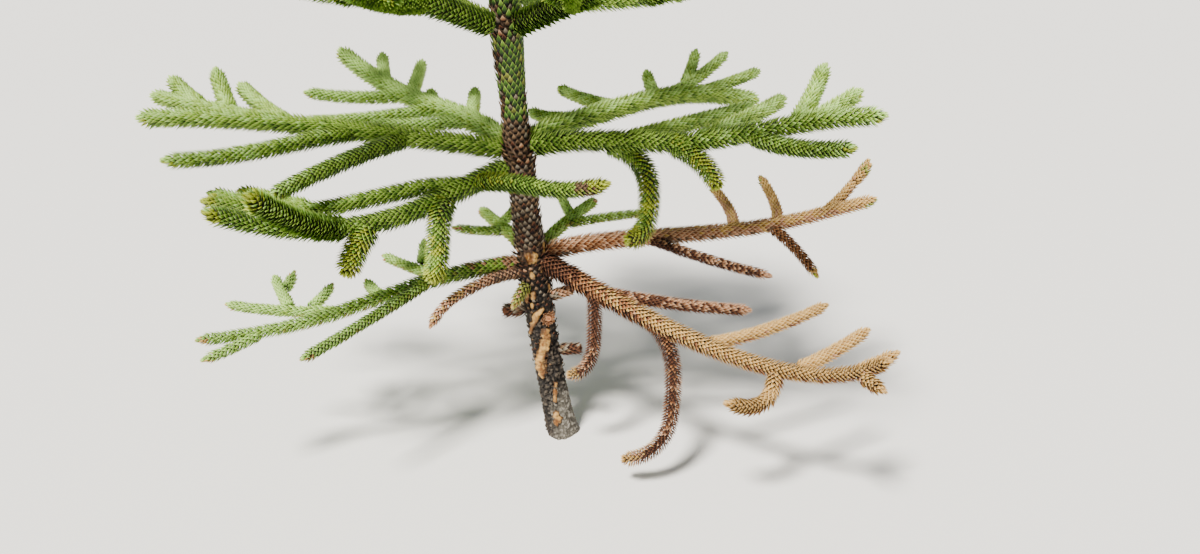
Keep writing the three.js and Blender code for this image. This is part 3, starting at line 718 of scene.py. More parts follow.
def leaf_pattern(name, section, base_width, widest_at):
    """A leaf of length 1 along Y and half width 1 along X, with its outer side down.

    With a base width of 0 the leaf begins in a point.
    """
    bpy.ops.mesh.primitive_circle_add(vertices=len(section), radius=1, fill_type="NGON",
                                      rotation=(math.radians(90), 0, 0))
    leaf = bpy.context.object
    leaf.name = name
    bpy.ops.object.transform_apply(location=True, rotation=True, scale=True)
    for vertex, (x, z) in zip(leaf.data.vertices, section):
        vertex.co = (x, widest_at, z)
    bpy.ops.object.mode_set(mode="EDIT")
    bpy.ops.mesh.select_all(action="SELECT")
    bpy.ops.mesh.extrude_region_move(TRANSFORM_OT_translate={"value": (0, 1 - widest_at, 0)})
    bpy.ops.mesh.merge(type="CENTER")
    bpy.ops.object.mode_set(mode="OBJECT")
    for vertex in leaf.data.vertices:
        vertex.select = vertex.co.y < 1
    bpy.ops.object.mode_set(mode="EDIT")
    bpy.ops.mesh.edge_face_add()
    bpy.ops.mesh.extrude_region_move(TRANSFORM_OT_translate={"value": (0, -widest_at, 0)})
    if base_width:
        bpy.ops.transform.resize(value=(base_width, 1, 1), center_override=(0, 0, 0))
    else:
        bpy.ops.mesh.merge(type="CENTER")
    bpy.ops.mesh.select_all(action="SELECT")
    bpy.ops.mesh.normals_make_consistent(inside=False)
    bpy.ops.object.mode_set(mode="OBJECT")
    points = np.array([vertex.co[:] for vertex in leaf.data.vertices])
    tip = int(np.argmax(points[:, 1]))
    points[tip, 2] = SHARP_END
    if not base_width:
        points[int(np.argmin(points[:, 1])), 2] = SHARP_END
    faces = [list(face.vertices) for face in leaf.data.polygons]
    firsts = [face.index(min(face)) for face in faces]  # a fixed order, the same in each run
    faces = sorted(face[first:] + face[:first] for face, first in zip(faces, firsts))
    sizes = np.array([len(face) for face in faces])
    edge = []
    for face in faces:
        inner = all(points[corner, 2] > INNER_LIMIT for corner in face)
        for corner in face:
            reach = 1.0 if corner == tip else abs(points[corner, 0]) ** EDGE_CURVE
            edge.append(INNER_EDGE if inner and corner != tip else reach)
    bpy.data.objects.remove(leaf)
    print(name, len(points), "points,", int((sizes - 2).sum()), "triangles")
    return {"points": points, "corners": np.concatenate(faces), "sizes": sizes,
            "edge": np.array(edge), "outer": points[:, 1], "triangles": int((sizes - 2).sum())}


PATTERNS = {
    "leaf": leaf_pattern("leaf_pattern", [(-1, 0), (0, -1.3), (1, 0)], 0, 0.46),
    "scale": leaf_pattern(
        "scale_pattern", [(-1, 0), (-0.76, -1), (0, -1.6), (0.76, -1), (1, 0)], 0.8, 0.45),
}

# %% [markdown]
# ## Where the leaves stand
#
# Leaves stand in one long spiral round every stem, each turned from the last by the golden
# angle of 137.5 degrees, which gives the crossing rows that the photograph shows. A leaf
# leaves the stem steeply and bends forward. Towards the bud the leaves grow shorter and close
# up. A thin shoot bears fewer leaves that are broader against its radius, so that each still
# shows. A coat may have a stance of its own. All leaves of a stem are worked out at once with
# arrays, as there are tens of thousands.

# %% Sow the leaves on every stem
GOLDEN_ANGLE = math.radians(137.508)
LEAVES_PER_METRE = (1450, 1620)  # on the boughs, and on their side shoots
# Angle in degrees from the stem, bend of the tip in leaf lengths, radius at which a leaf leaves
# its stem and radius of the tips, both against the radius of the solids' leaf points, crowding
# against the usual number, half width against the length, millimetres before the bud over
# which leaves close up, and how open the first and the last leaf of the bud are.
Stance = namedtuple("Stance", "angle bend core reach crowding half_width closing bud")
USUAL_STANCE = Stance(75, 0.42, 0.28, 1.05, 1, 0.22, 20, (0.42, -0.2))
STUMP_STANCE = Stance(60, 0.3, 0.3, 1.1, 0.8, 0.2, 4, (1, 0.6))
STANCES = {
    "droop": Stance(84, 0.38, 0.42, 0.94, 1.35, 0.235, 10, (0.8, 0.15)),
    "dark_droop": Stance(84, 0.34, 0.38, 1.0, 1.1, 0.21, 12, (0.8, 0.15)),
    "pink": Stance(75, 0.42, 0.28, 1.22, 1, 0.21, 20, (0.6, -0.1)),
    "stump": STUMP_STANCE,
    "stump_pale": STUMP_STANCE,
}
THIN_RADII = (17, 31)  # millimetres between which a shoot counts less and less as thin
THIN_FEWER, THIN_WIDER, THIN_LOWER = 0.5, 0.35, 14  # shares, and degrees nearer to the stem
UNDERSIDE = 0.13  # how much longer the leaves are that hang below a level stem
THICKNESS = 2.0  # millimetres
LAST_LEAF = 14  # distance of the bud's leaves from the end of the line
BUD_LEAVES = 20  # extra leaves that fill the bud
BUD_LENGTH = 0.82  # length of a closed leaf against an open one
CLOSED_ANGLE = 12
OPENING = 0.75  # a lower value lets the leaves open sooner behind the bud
SLIMMEST = 0.3  # of the core, at the tip
ROLL, SWAY, TILT = 2.5, 1.5, 2  # usual deviation of a leaf from its place, in degrees
LENGTH_RANGE, WIDTH_RANGE = (0.93, 1.07), (0.9, 1.1)
SEED = 1350
rng = np.random.default_rng(SEED)
noise.seed_set(SEED)  # else the vector noise would be another in each run


def unit(vectors):
    return vectors / np.linalg.norm(vectors, axis=-1, keepdims=True)


def leaf_block(point, forward, out, angle, length, half_width, thickness, bend, kind, **labels):
    """Leaves from arrays: base points, directions, sizes in millimetres and kinds."""
    count = len(point)
    roll = np.radians(rng.normal(0, ROLL, count))
    sway = np.radians(rng.normal(0, SWAY, count))
    across = np.cross(out, forward)
    out = unit(out + across * np.tan(sway)[:, None])
    angle = np.radians(angle + rng.normal(0, TILT, count))[:, None]
    blade = unit(np.cos(angle) * forward + np.sin(angle) * out)
    inner = unit(np.sin(angle) * forward - np.cos(angle) * out)
    across = np.cross(blade, inner)
    turned = np.cos(roll)[:, None] * across + np.sin(roll)[:, None] * inner
    return {"point": point, "blade": blade, "inner": np.cross(turned, blade), "across": turned,
            "length": length * rng.uniform(*LENGTH_RANGE, count),
            "half_width": half_width * rng.uniform(*WIDTH_RANGE, count),
            "thickness": np.full(count, thickness), "bend": np.full(count, bend),
            "kind": kind, "shade": rng.uniform(0, 1, count), **labels}


def sow(stem):
    """All the leaves of one stem."""
    axis, stance = stem["axis"], STANCES.get(stem["coat"], USUAL_STANCE)
    thin = float(np.interp(np.mean(stem["radius"]), THIN_RADII, (1, 0)))
    base_angle = stance.angle - THIN_LOWER * thin
    crowding = stance.crowding * (1 - THIN_FEWER * thin)
    spacing = 1000 / (LEAVES_PER_METRE[min(stem["order"], 1)] * crowding)
    distance = np.arange(stem["start"], axis.length - LAST_LEAF, spacing)
    distance = np.append(distance, np.full(BUD_LEAVES, axis.length - LAST_LEAF))
    count = len(distance)
    point, forward, left, up = axis.at(distance)
    turn = GOLDEN_ANGLE * np.arange(count) + rng.uniform(0, 2 * math.pi)
    out = np.cos(turn)[:, None] * left + np.sin(turn)[:, None] * up
    radius = stance.reach * np.interp(distance, [0, axis.length], stem["radius"])
    to_tip = axis.length - distance
    open_share = np.clip((to_tip - LAST_LEAF) / stance.closing, 0, 1) ** OPENING
    open_share[-BUD_LEAVES:] = np.linspace(*stance.bud, BUD_LEAVES)
    angle = CLOSED_ANGLE + (base_angle - CLOSED_ANGLE) * open_share
    tapering = np.clip(to_tip / (stance.closing + LAST_LEAF), SLIMMEST, 1)
    core = stance.core * radius * tapering
    slope = math.radians(base_angle)
    rise = math.sin(slope) - stance.bend * math.cos(slope)
    length = (1 - stance.core) * radius / rise * np.interp(open_share, [0, 1], [BUD_LENGTH, 1])
    length *= 1 + UNDERSIDE * np.clip(-out[:, 2], 0, 1)
    half_width = stance.half_width * (1 + THIN_WIDER * thin) * length
    path = stem["path"] + (1 - stem["path"]) * distance / axis.length
    quarter = (turn / (math.pi / 2)).astype(int) % 4
    patch = (distance / PATCH).astype(int) * 4 + quarter
    patch_draw = rng.uniform(0, 1, patch.max() + 1)[patch]
    kind = deal_kinds(stem["coat"], path, to_tip, out[:, 2], patch_draw,
                      rng.uniform(0, 1, count), rng.uniform(0, 1, count) < PATCH_SHARE)
    pattern = "scale" if stem["level"] == "trunk" else "leaf"
    return leaf_block(point + out * core[:, None], forward, out, angle, length, half_width,
                      THICKNESS, stance.bend, kind, pattern=pattern, level=stem["level"],
                      nodes=stem["nodes"])


sown = [sow(stem) for stem in stems]
print(sum(len(block["kind"]) for block in sown), "leaves on the stems")

# %% [markdown]
# ## Leaves on the trunk and round the cut limb
#
# The trunk of a young tree keeps its leaves for years. Above about one metre they are green
# scales pressed upwards against it. Lower down they are dead, grey-brown and broken, with
# dark gaps between, and below the lowest whorl only rough bark is left. Round each whorl dry
# leaves stand out.

# %% The bark's radius and where resin lies on it
RESIN = [  # height, bearing, half width at one end, the same at the other end, thickness
    (653, 264, 15, 641, 269, 13, 11), (654, 287, 13, 643, 284, 12, 10),
    (690, 343, 6, 664, 337, 8, 6), (598, 270, 9, 589, 271, 9, 6), (613, 306, 5, 600, 305, 4, 3),
    (530, 241, 9, 499, 233, 8, 5), (530, 262, 9, 516, 260, 9, 6), (491, 252, 7, 481, 252, 6, 4),
    (550, 331, 6, 537, 332, 5, 3), (476, 291, 6, 459, 270, 10, 6), (459, 270, 10, 440, 255, 11, 7),
    (440, 255, 10, 386, 219, 6, 5), (394, 288, 14, 359, 282, 18, 8),
    (359, 281, 18, 330, 264, 15, 7), (330, 263, 14, 288, 246, 19, 9),
    (288, 245, 20, 258, 240, 18, 9), (258, 239, 16, 230, 241, 8, 7), (204, 291, 7, 196, 290, 7, 4),
    (182, 285, 7, 143, 276, 7, 5), (95, 270, 10, 74, 272, 14, 8), (66, 264, 9, 58, 264, 8, 5),
]
RESIN_RAGGED = ((0.5, 13), (0.3, 5))  # strength of the noise at its outline, and millimetres
RESIN_FAR, RESIN_NOWHERE = -1.2, -9.0  # places too far outside for that noise, or for any lump
BARK_DEPTH = [(0, 0.5), (560, 0.5), (680, 4), (950, 5), (1050, 7)]  # height, depth under scales


def trunk_core(height):
    """Radius of the bark itself under the scales."""
    return trunk_radius(height) - np.interp(height, *zip(*BARK_DEPTH))


def on_trunk(height, bearing, beyond=0.0):
    """Points on the bark and the directions straight out from it."""
    heading = np.radians(bearing)
    out = np.stack([np.cos(heading), np.sin(heading), np.zeros_like(heading)], -1)
    radius = trunk_core(height) + flare(height, bearing) + beyond
    middle = np.stack([trunk_line(height), np.zeros_like(height), height], -1)
    return middle + out * np.asarray(radius)[..., None], out


def resin_at(height, bearing):
    """How deep inside a lump of resin each place is (below zero outside), and its thickness."""
    inside, thick = np.full(height.shape, RESIN_NOWHERE), np.zeros(height.shape)
    for height_0, bearing_0, half_0, height_1, bearing_1, half_1, thickness in RESIN:
        round_mm = np.radians(1.0) * float(trunk_radius(height_0))
        across, up = (bearing - bearing_0) * round_mm, height - height_0
        span = np.array(((bearing_1 - bearing_0) * round_mm, height_1 - height_0))
        share = np.clip((across * span[0] + up * span[1]) / (span @ span), 0, 1)
        distance = np.hypot(across - share * span[0], up - share * span[1])
        value = 1 - distance / (half_0 + (half_1 - half_0) * share)
        thick = np.where(value > inside, thickness, thick)
        inside = np.maximum(inside, value)
    point = on_trunk(height, bearing)[0].reshape(-1, 3)
    ragged = np.zeros(inside.size)
    for index in np.flatnonzero(inside.ravel() > RESIN_FAR):
        place = Vector(point[index])
        ragged[index] = sum(strength * noise.noise(place / size)
                            for strength, size in RESIN_RAGGED)
    return inside + ragged.reshape(inside.shape), thick


print(len(RESIN), "lumps of resin")

# %% Sow the scales of the trunk
SCALES_FROM, SCALES_TO = 250, 2585
SCALES_PER_METRE = 1000
LEFT_HEIGHTS, LEFT_SHARES = (250, 420, 600), (0.10, 0.45, 1.0)  # dead scales that still cling
GREEN_FROM, GREEN_TO = 1015, 1170  # heights between which dead scales give way to green ones
BROWN_HEIGHTS, BROWN_SHARES = (540, 640, 840, 940, 1090, 1130), (0.8, 0.2, 0.1, 0.8, 0.8, 0.2)
SHADED_SIDE = 165  # bearing of the side where the scales are browner
SHADE_EDGE = 0.7  # a higher value makes that side narrower
WHORL_HEIGHTS = [632, 966, 1340, 1730, 2090, 2420]
WHORL_LITTER = 30  # millimetres above and below a whorl where dry leaves stand out
LITTER_KILLS, SHADE_KILLS, SHADE_BROWNS = 0.9, 0.75, 0.6  # how litter and shade move the shares
DEEP_BELOW, OLIVE_ABOVE = 0.78, 0.88  # draws that make a living scale deep green or olive
DARK_HEIGHTS, DARK_ABOVE = (460, 640), (0.45, 0.8)  # draws that make a dead scale dark
PINK_BELOW, LITTER_LEAST = 0.45, 0.3  # draws and places that make it a pale dry leaf
SCALE_ANGLE, DEAD_MORE, LITTER_MORE = 19, 22, 30  # degrees from the trunk, and what is added
SCALE_LENGTH, SCALE_HALF_WIDTH, SCALE_BEND = 27, 7.8, 0.14
DEAD_HEIGHTS, DEAD_LENGTHS, DEAD_HALF_WIDTHS = (400, 650), (11, 22), (5, 7)
LITTER_LONGER = 6


def trunk_blocks():
    """All the scales of the trunk."""
    height = np.arange(SCALES_FROM, SCALES_TO, 1000 / SCALES_PER_METRE)
    bearing = np.degrees(GOLDEN_ANGLE) * np.arange(len(height)) % 360
    clings = rng.uniform(0, 1, len(height)) < np.interp(height, LEFT_HEIGHTS, LEFT_SHARES)
    clings &= resin_at(height, bearing)[0] < 0
    height, bearing = height[clings], bearing[clings]
    count = len(height)
    point, out = on_trunk(height, bearing, -1)
    lean = np.stack([np.gradient(trunk_line(height), height), np.zeros(count),
                     np.ones(count)], -1)
    near = np.min(np.abs(height[:, None] - np.array(WHORL_HEIGHTS)), axis=1)
    litter = np.exp(-((near / WHORL_LITTER) ** 2))
    shaded = np.clip(np.cos(np.radians(bearing - SHADED_SIDE)), 0, 1) ** SHADE_EDGE
    green = np.clip((height - GREEN_FROM) / (GREEN_TO - GREEN_FROM), 0, 1)
    green *= (1 - LITTER_KILLS * litter) * (1 - SHADE_KILLS * shaded)
    alive = rng.uniform(0, 1, count) < green
    draw = rng.uniform(0, 1, count)
    live_kind = np.where(draw < DEEP_BELOW, NUMBER["deep"], NUMBER["green"])
    live_kind = np.where(draw > OLIVE_ABOVE, NUMBER["olive"], live_kind)
    brown_share = np.interp(height, BROWN_HEIGHTS, BROWN_SHARES) + SHADE_BROWNS * shaded
    brown = rng.uniform(0, 1, count) < brown_share
    dead_kind = np.where(brown, NUMBER["umber"], NUMBER["grey"])
    dark = draw > np.interp(height, DARK_HEIGHTS, DARK_ABOVE)
    dead_kind = np.where(dark, NUMBER["dark"], dead_kind)
    pink = (draw < PINK_BELOW) & (litter > LITTER_LEAST)
    dead_kind = np.where(pink, NUMBER["pink"], dead_kind)
    dead_angle = SCALE_ANGLE + DEAD_MORE * rng.uniform(0, 1, count)
    angle = np.where(alive, SCALE_ANGLE, dead_angle) + LITTER_MORE * litter
    dead_length = np.interp(height, DEAD_HEIGHTS, DEAD_LENGTHS)
    length = np.where(alive, SCALE_LENGTH, dead_length) + LITTER_LONGER * litter
    dead_half_width = np.interp(height, DEAD_HEIGHTS, DEAD_HALF_WIDTHS)
    return leaf_block(point, unit(lean), out, angle, length,
                      np.where(alive, SCALE_HALF_WIDTH, dead_half_width), THICKNESS, SCALE_BEND,
                      np.where(alive, live_kind, dead_kind), pattern="scale", level="trunk",
                      nodes=["trunk"])


sown.append(trunk_blocks())
print(len(sown[-1]["kind"]), "scales on the trunk")

# %% Sow the dry leaves round the cut limb
CUT_HEIGHT, CUT_BEARING, CUT_RADIUS = 441.0, 304.0, 10  # a limb that was cut off close
CUT_LEAVES = 40
CUT_RING, CUT_ANGLES, CUT_LENGTHS = (8, 16), (34, 78), (10, 15)  # innermost and outermost leaf
CUT_HALF_WIDTH, CUT_THICKNESS, CUT_BEND = 4.6, 1.8, 0.1


def cut_limb_block():
    """Dry leaves left standing in a star round the cut."""
    middle, outward = on_trunk(CUT_HEIGHT, CUT_BEARING, 1)
    turn = GOLDEN_ANGLE * np.arange(CUT_LEAVES)
    level = np.array((-outward[1], outward[0], 0.0))
    out = np.cos(turn)[:, None] * level + np.sin(turn)[:, None] * UP
    ring, angle, length = (np.linspace(*ends, CUT_LEAVES)
                           for ends in (CUT_RING, CUT_ANGLES, CUT_LENGTHS))
    kind = np.where(np.arange(CUT_LEAVES) % 3 == 0, NUMBER["rust"], NUMBER["pink"])
    return leaf_block(middle + out * ring[:, None], np.tile(outward, (CUT_LEAVES, 1)), out,
                      angle, length, CUT_HALF_WIDTH, CUT_THICKNESS, CUT_BEND, kind,
                      pattern="scale", level="trunk", nodes=["trunk"])


sown.append(cut_limb_block())
print(CUT_LEAVES, "dry leaves round the cut")

# %% [markdown]
# ## Join the leaves, each kind apart
#
# A joined mesh is written straight from arrays: every leaf repeats the pattern's points in
# its own directions and size. Pieces hold one kind of one whorl and stay under 200,000
# triangles. Each hides the solids that it stands for.

# %% Write the leaf pieces
MOST_TRIANGLES = 190_000
PLURAL = {"leaf": "leaves", "scale": "scales"}


def mesh_piece(name, points, corners, sizes, material=None, smooth=False):
    """An object from arrays of points (millimetres), face corners and face sizes."""
    mesh = bpy.data.meshes.new(name)
    mesh.vertices.add(len(points))
    mesh.vertices.foreach_set("co", (np.asarray(points) * MM).astype(np.float32).ravel())
    mesh.loops.add(len(corners))
    mesh.loops.foreach_set("vertex_index", np.asarray(corners, np.int32))
    mesh.polygons.add(len(sizes))
    starts = np.concatenate([[0], np.cumsum(sizes)[:-1]]).astype(np.int32)
    mesh.polygons.foreach_set("loop_start", starts)
    mesh.polygons.foreach_set("use_smooth", np.full(len(sizes), smooth))
    if material:
        mesh.materials.append(material)
    mesh.update(calc_edges=True)
    mesh.validate()
    piece = bpy.data.objects.new(name, mesh)
    bpy.context.scene.collection.objects.link(piece)
    return piece


def values_on(piece, name, values, domain="POINT"):
    """Stores one number for each point or face corner, which a material can read."""
    layer = piece.data.attributes.new(name, "FLOAT", domain)
    layer.data.foreach_set("value", np.asarray(values, np.float32))


def leaf_piece(name, kind, leaves):
    """One piece from the chosen leaves of several blocks, all of one pattern."""
    def column(key):
        return np.concatenate([block[key][chosen] for block, chosen in leaves])

    pattern = PATTERNS[leaves[0][0]["pattern"]]
    x, y, z = (pattern["points"][:, i][None, :, None] for i in range(3))
    length = column("length")[:, None, None]
    points = (
        column("point")[:, None, :]
        + column("across")[:, None, :] * x * column("half_width")[:, None, None]
        + column("blade")[:, None, :] * y * length
        + column("inner")[:, None, :] * (z * column("thickness")[:, None, None]
                                        + column("bend")[:, None, None] * y**2 * length)
    ).reshape(-1, 3)
    count, each = len(length), len(pattern["points"])
    corners = (pattern["corners"][None, :] + each * np.arange(count)[:, None]).ravel()
    piece = mesh_piece(name, points, corners, np.tile(pattern["sizes"], count),
                       leaf_materials[kind])
    values_on(piece, "shade", np.repeat(column("shade"), each))
    values_on(piece, "edge", np.tile(pattern["edge"], count), "CORNER")
    values_on(piece, "outer", np.tile(pattern["outer"], count))
    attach(piece, "root")
    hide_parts(*sorted({node for block, _ in leaves for node in block["nodes"]}))
    print(f"{name}: {count} leaves, {count * pattern['triangles']} triangles")
    return count * pattern["triangles"]


total = 0
for level, pattern in dict.fromkeys((block["level"], block["pattern"]) for block in sown):
    blocks = [block for block in sown if (block["level"], block["pattern"]) == (level, pattern)]
    for number, kind in enumerate(KIND_ORDER):
        batches, size = [[]], 0
        for block in blocks:
            chosen = np.flatnonzero(block["kind"] == number)
            size += len(chosen) * PATTERNS[pattern]["triangles"]
            if size > MOST_TRIANGLES:
                batches.append([])
                size = len(chosen) * PATTERNS[pattern]["triangles"]
            if len(chosen):
                batches[-1].append((block, chosen))
        for batch, leaves in enumerate(filter(None, batches), 1):
            total += leaf_piece(f"{PLURAL[pattern]}_{level}_{kind}_{batch}", kind, leaves)
print("leaves in all:", total, "triangles")

# %% [markdown]
# ## Stems under the leaves
#
# Between the leaves the stem itself shows as a darker line, so every shoot gets one: a slim
# tube, green-brown on living wood and dark brown on dead. The tube is made from arrays, ring
# by ring, because there are over two hundred of them. Next to the trunk the limb is thicker and
# has its own relief of old leaf bases.

# %% Tubes along an axis
def tube(point, left, up, radius):
    """Points, face corners and face sizes of a closed tube. Radius is rings by sides."""
    rings, sides = radius.shape
    turn = 2 * math.pi * np.arange(sides) / sides
    ring = (np.cos(turn)[None, :, None] * left[:, None, :]
            + np.sin(turn)[None, :, None] * up[:, None, :])
    points = (point[:, None, :] + ring * radius[:, :, None]).reshape(-1, 3)
    index = np.arange(rings * sides).reshape(rings, sides)
    beside = np.roll(index, -1, axis=1)
    quads = np.stack([index[:-1], beside[:-1], beside[1:], index[1:]], -1).reshape(-1)
    corners = np.concatenate([quads, index[0][::-1], index[-1]])
    sizes = np.concatenate([np.full(len(quads) // 4, 4), [sides, sides]])
    return points, corners, sizes


def joined(parts):
    """Several lots of points, corners and sizes as one."""
    before = np.cumsum([0] + [len(points) for points, _, _ in parts[:-1]])
    return (np.vstack([points for points, _, _ in parts]),
            np.concatenate([corners + first for (_, corners, _), first in zip(parts, before)]),
            np.concatenate([sizes for _, _, sizes in parts]))


def wood(name, groove_tone, ridge_tone, roughness, scale, depth):
    """Bark: dark in its grooves, paler and drier on its ridges."""
    material, tree, shader = blank_material(name)
    place = add(tree, "TexCoord").outputs["Object"]
    stretch = add(tree, "Mapping", {"Vector": place, "Scale": (1, 1, 0.45)})
    patches = add(tree, "TexNoise", {"Vector": stretch.outputs[0], "Scale": scale, "Detail": 5.0})
    spread = add(tree, "MapRange", {"Value": patches.outputs["Fac"], 1: 0.36, 2: 0.64})
    colour = add(tree, "Mix", {0: spread.outputs[0], 6: linear(groove_tone),
                               7: linear(ridge_tone)}, data_type="RGBA")
    tree.links.new(colour.outputs[2], shader.inputs["Base Color"])
    shader.inputs["Roughness"].default_value = roughness
    bump = add(tree, "Bump", {"Height": patches.outputs["Fac"], "Strength": 0.6,
                              "Distance": depth})
    tree.links.new(bump.outputs[0], shader.inputs["Normal"])
    return material


DEAD_COATS = {"brown", "pink", "rusty", "dead", "dark_droop", "purple_brown"}
live_wood = wood("green_twig_rind", "#131709", "#34361a", 0.8, 160, 0.0008)
dead_wood = wood("dry_twig_bark", "#120a07", "#3d281d", 0.88, 160, 0.0008)
print("wood:", live_wood.name, dead_wood.name)

# %% Twigs of each whorl
TWIG_STEP, TWIG_SIDES = 20, 6
TWIG_INSET = 6  # how much a twig starts before its leaves and ends before its line
SLIMMEST_TWIG = 0.2  # at the tip, against the core

twig_groups = {}
for stem in stems:
    if stem["level"] == "trunk":
        continue
    axis = stem["axis"]
    distance = np.linspace(max(stem["start"] - TWIG_INSET, 0), axis.length - TWIG_INSET,
                           max(3, int(axis.length / TWIG_STEP)))
    point, _, left, up = axis.at(distance)
    stance = STANCES.get(stem["coat"], USUAL_STANCE)
    thinning = np.clip((axis.length - distance) / (stance.closing + LAST_LEAF),
                       SLIMMEST_TWIG, 1)
    radius = stance.core * np.interp(distance, [0, axis.length], stem["radius"]) * thinning
    part = tube(point, left, up, np.repeat(radius[:, None], TWIG_SIDES, axis=1))
    key = (stem["level"], "dry" if stem["coat"] in DEAD_COATS else "green")
    twig_groups.setdefault(key, []).append((part, stem["nodes"]))

for (level, state), rows in twig_groups.items():
    points, corners, sizes = joined([part for part, _ in rows])
    piece = mesh_piece(f"twigs_{level}_{state}", points, corners, sizes,
                       dead_wood if state == "dry" else live_wood, smooth=True)
    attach(piece, "root")
    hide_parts(*sorted({node for _, nodes in rows for node in nodes}))
    print(f"twigs_{level}_{state}:", int((sizes - 2).sum()), "triangles")

# %% Limbs next to the trunk, with the relief of old leaf bases
LIMB_STEP, LIMB_SIDES = 7, 20
LIMB_SHARE, STUMP_SHARE = 0.46, 0.55  # radius of the wood against that at the leaf points
LIMB_INSET = 14  # how far inside the trunk's scales a limb begins
LIMB_BEYOND, STUMP_SHORTER = 12, 14  # one runs on under the foliage, the other ends earlier
END_ZONE, ROUND_END, BROKEN_END = 18, 0.35, 0.8  # how far from its end a limb thins, and to what
SPLINTER = 14.0  # how unevenly a broken end stands out
LEAF_BASE = 2.2  # millimetres that the leaf bases stand out
BASES_COARSE, BASES_FINE = 0.11, 0.3  # how many of them lie on a millimetre


def limb_relief(point):
    """How far the limb's surface stands out at a place, from old leaf bases."""
    coarse = noise.noise(Vector(point) * BASES_COARSE)
    fine = noise.noise(Vector(point) * BASES_FINE + Vector((7, 3, 1)))
    return LEAF_BASE * (0.5 * coarse + 0.5 * fine)


def limb_piece(name, axis, radii, first, last, share, material, node, broken=False):
    """The wood of one limb between two distances along its line."""
    distance = np.arange(first, last + LIMB_STEP, LIMB_STEP)
    point, forward, left, up = axis.at(distance)
    base = share * np.interp(distance, [0, axis.length], radii)
    turn = 2 * math.pi * np.arange(LIMB_SIDES) / LIMB_SIDES
    radius = np.repeat(base[:, None], LIMB_SIDES, axis=1)
    for ring in range(len(distance)):
        for corner in range(LIMB_SIDES):
            out = math.cos(turn[corner]) * left[ring] + math.sin(turn[corner]) * up[ring]
            radius[ring, corner] += limb_relief(point[ring] + out * base[ring])
    taper = np.clip((last + LIMB_STEP - distance) / END_ZONE,
                    BROKEN_END if broken else ROUND_END, 1) ** 0.5
    points, corners, sizes = tube(point, left, up, radius * taper[:, None])
    if broken:
        splinters = np.array([noise.noise(Vector((corner * 1.3, 0.4, first)))
                              for corner in range(LIMB_SIDES)])
        points[-LIMB_SIDES:] += forward[-1] * (SPLINTER * splinters)[:, None]
    piece = mesh_piece(name, points, corners, sizes, material, smooth=True)
    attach(piece, "root")
    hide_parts(node)


for row in SEEN_BOUGHS + hidden:
    if row["stem"]:
        limb_piece(f"limb_{row['name']}", bough_axis(row), AXIS_RADIUS,
                   float(trunk_radius(row["height"])) - LIMB_INSET, row["stem"] + LIMB_BEYOND,
                   LIMB_SHARE, dead_wood if row["coat"] in DEAD_COATS else live_wood,
                   f"bough_{row['name']}")
stump_wood = wood("broken_limb_dry_wood", "#1a100e", "#54443f", 0.9, 120, 0.0012)
for word, height, _, length, _, radius, _ in STUMPS:
    limb_piece(f"broken_limb_{word}", stump_axes[word], (radius * STUMP_SPREAD, radius),
               float(trunk_radius(height)) - LIMB_INSET, length - STUMP_SHORTER, STUMP_SHARE,
               stump_wood, f"stump_{word}", broken=True)
print(sum(bool(row["stem"]) for row in SEEN_BOUGHS + hidden), "limbs,", len(STUMPS), "stumps")

# %% [markdown]
# ## Bark of the trunk
#
# The bark low down is nearly black and breaks into small rough plates. At the foot it has
# weathered to a flaky grey on the right. The trunk starts as a flat grid, one row of squares
# for each few millimetres of height, which is rolled into a tube, and every point is then
# pushed in or out by the relief. Noise that falls into cells makes the plates: where the two
# nearest cell centres are equally far, there is a crack.

# %% Model the trunk
TRUNK_COLUMNS, TRUNK_ROWS = 110, 520
FINE_SHARE, FINE_HEIGHT = 0.42, 700  # this share of the rows is below this height
PLATE_WIDE, PLATE_TALL = 12, 12  # millimetres
PLATE_WARP, WARP_SCALE = 0.5, 0.6  # how far noise pulls the plates out of shape
CRACK = 5.0  # depth of the cracks in bare bark
SCALED_CRACK = 1.2  # and under the leaf scales
CRACK_WIDE = 0.3  # against a plate
PLATE_LIFT, LEVEL_PLATE = 4.5, 0.6  # how differently the plates stand out, and the level draw
PLATE_DRAW = 9.1  # any value that parts the draws of neighbouring plates
ROUGH_SCALE, ROUGH_LAYERS = 1.6, (0.8, 2.2, 4)  # fineness, then fall, step and number of layers
FLAKES = 1.6  # millimetres of fine roughness on bare bark
BARE_HEIGHTS = (560, 680)  # bare bark gives way to leaf scales between these
WORN_SIDE, WORN_HEIGHTS = 335, (90, 230)  # bearing and heights of the weathered bark
WORN_REACH, WORN_RAGGED, WORN_LIMIT = 2.2, 0.35, 0.3  # strength, ragged edge, what is left out
WORN_AWAY = 0.65  # share of the relief that is lost there
PLATE_TONE, FLAKE_TONE = 0.4, 0.12  # how differently plates and flakes are shaded

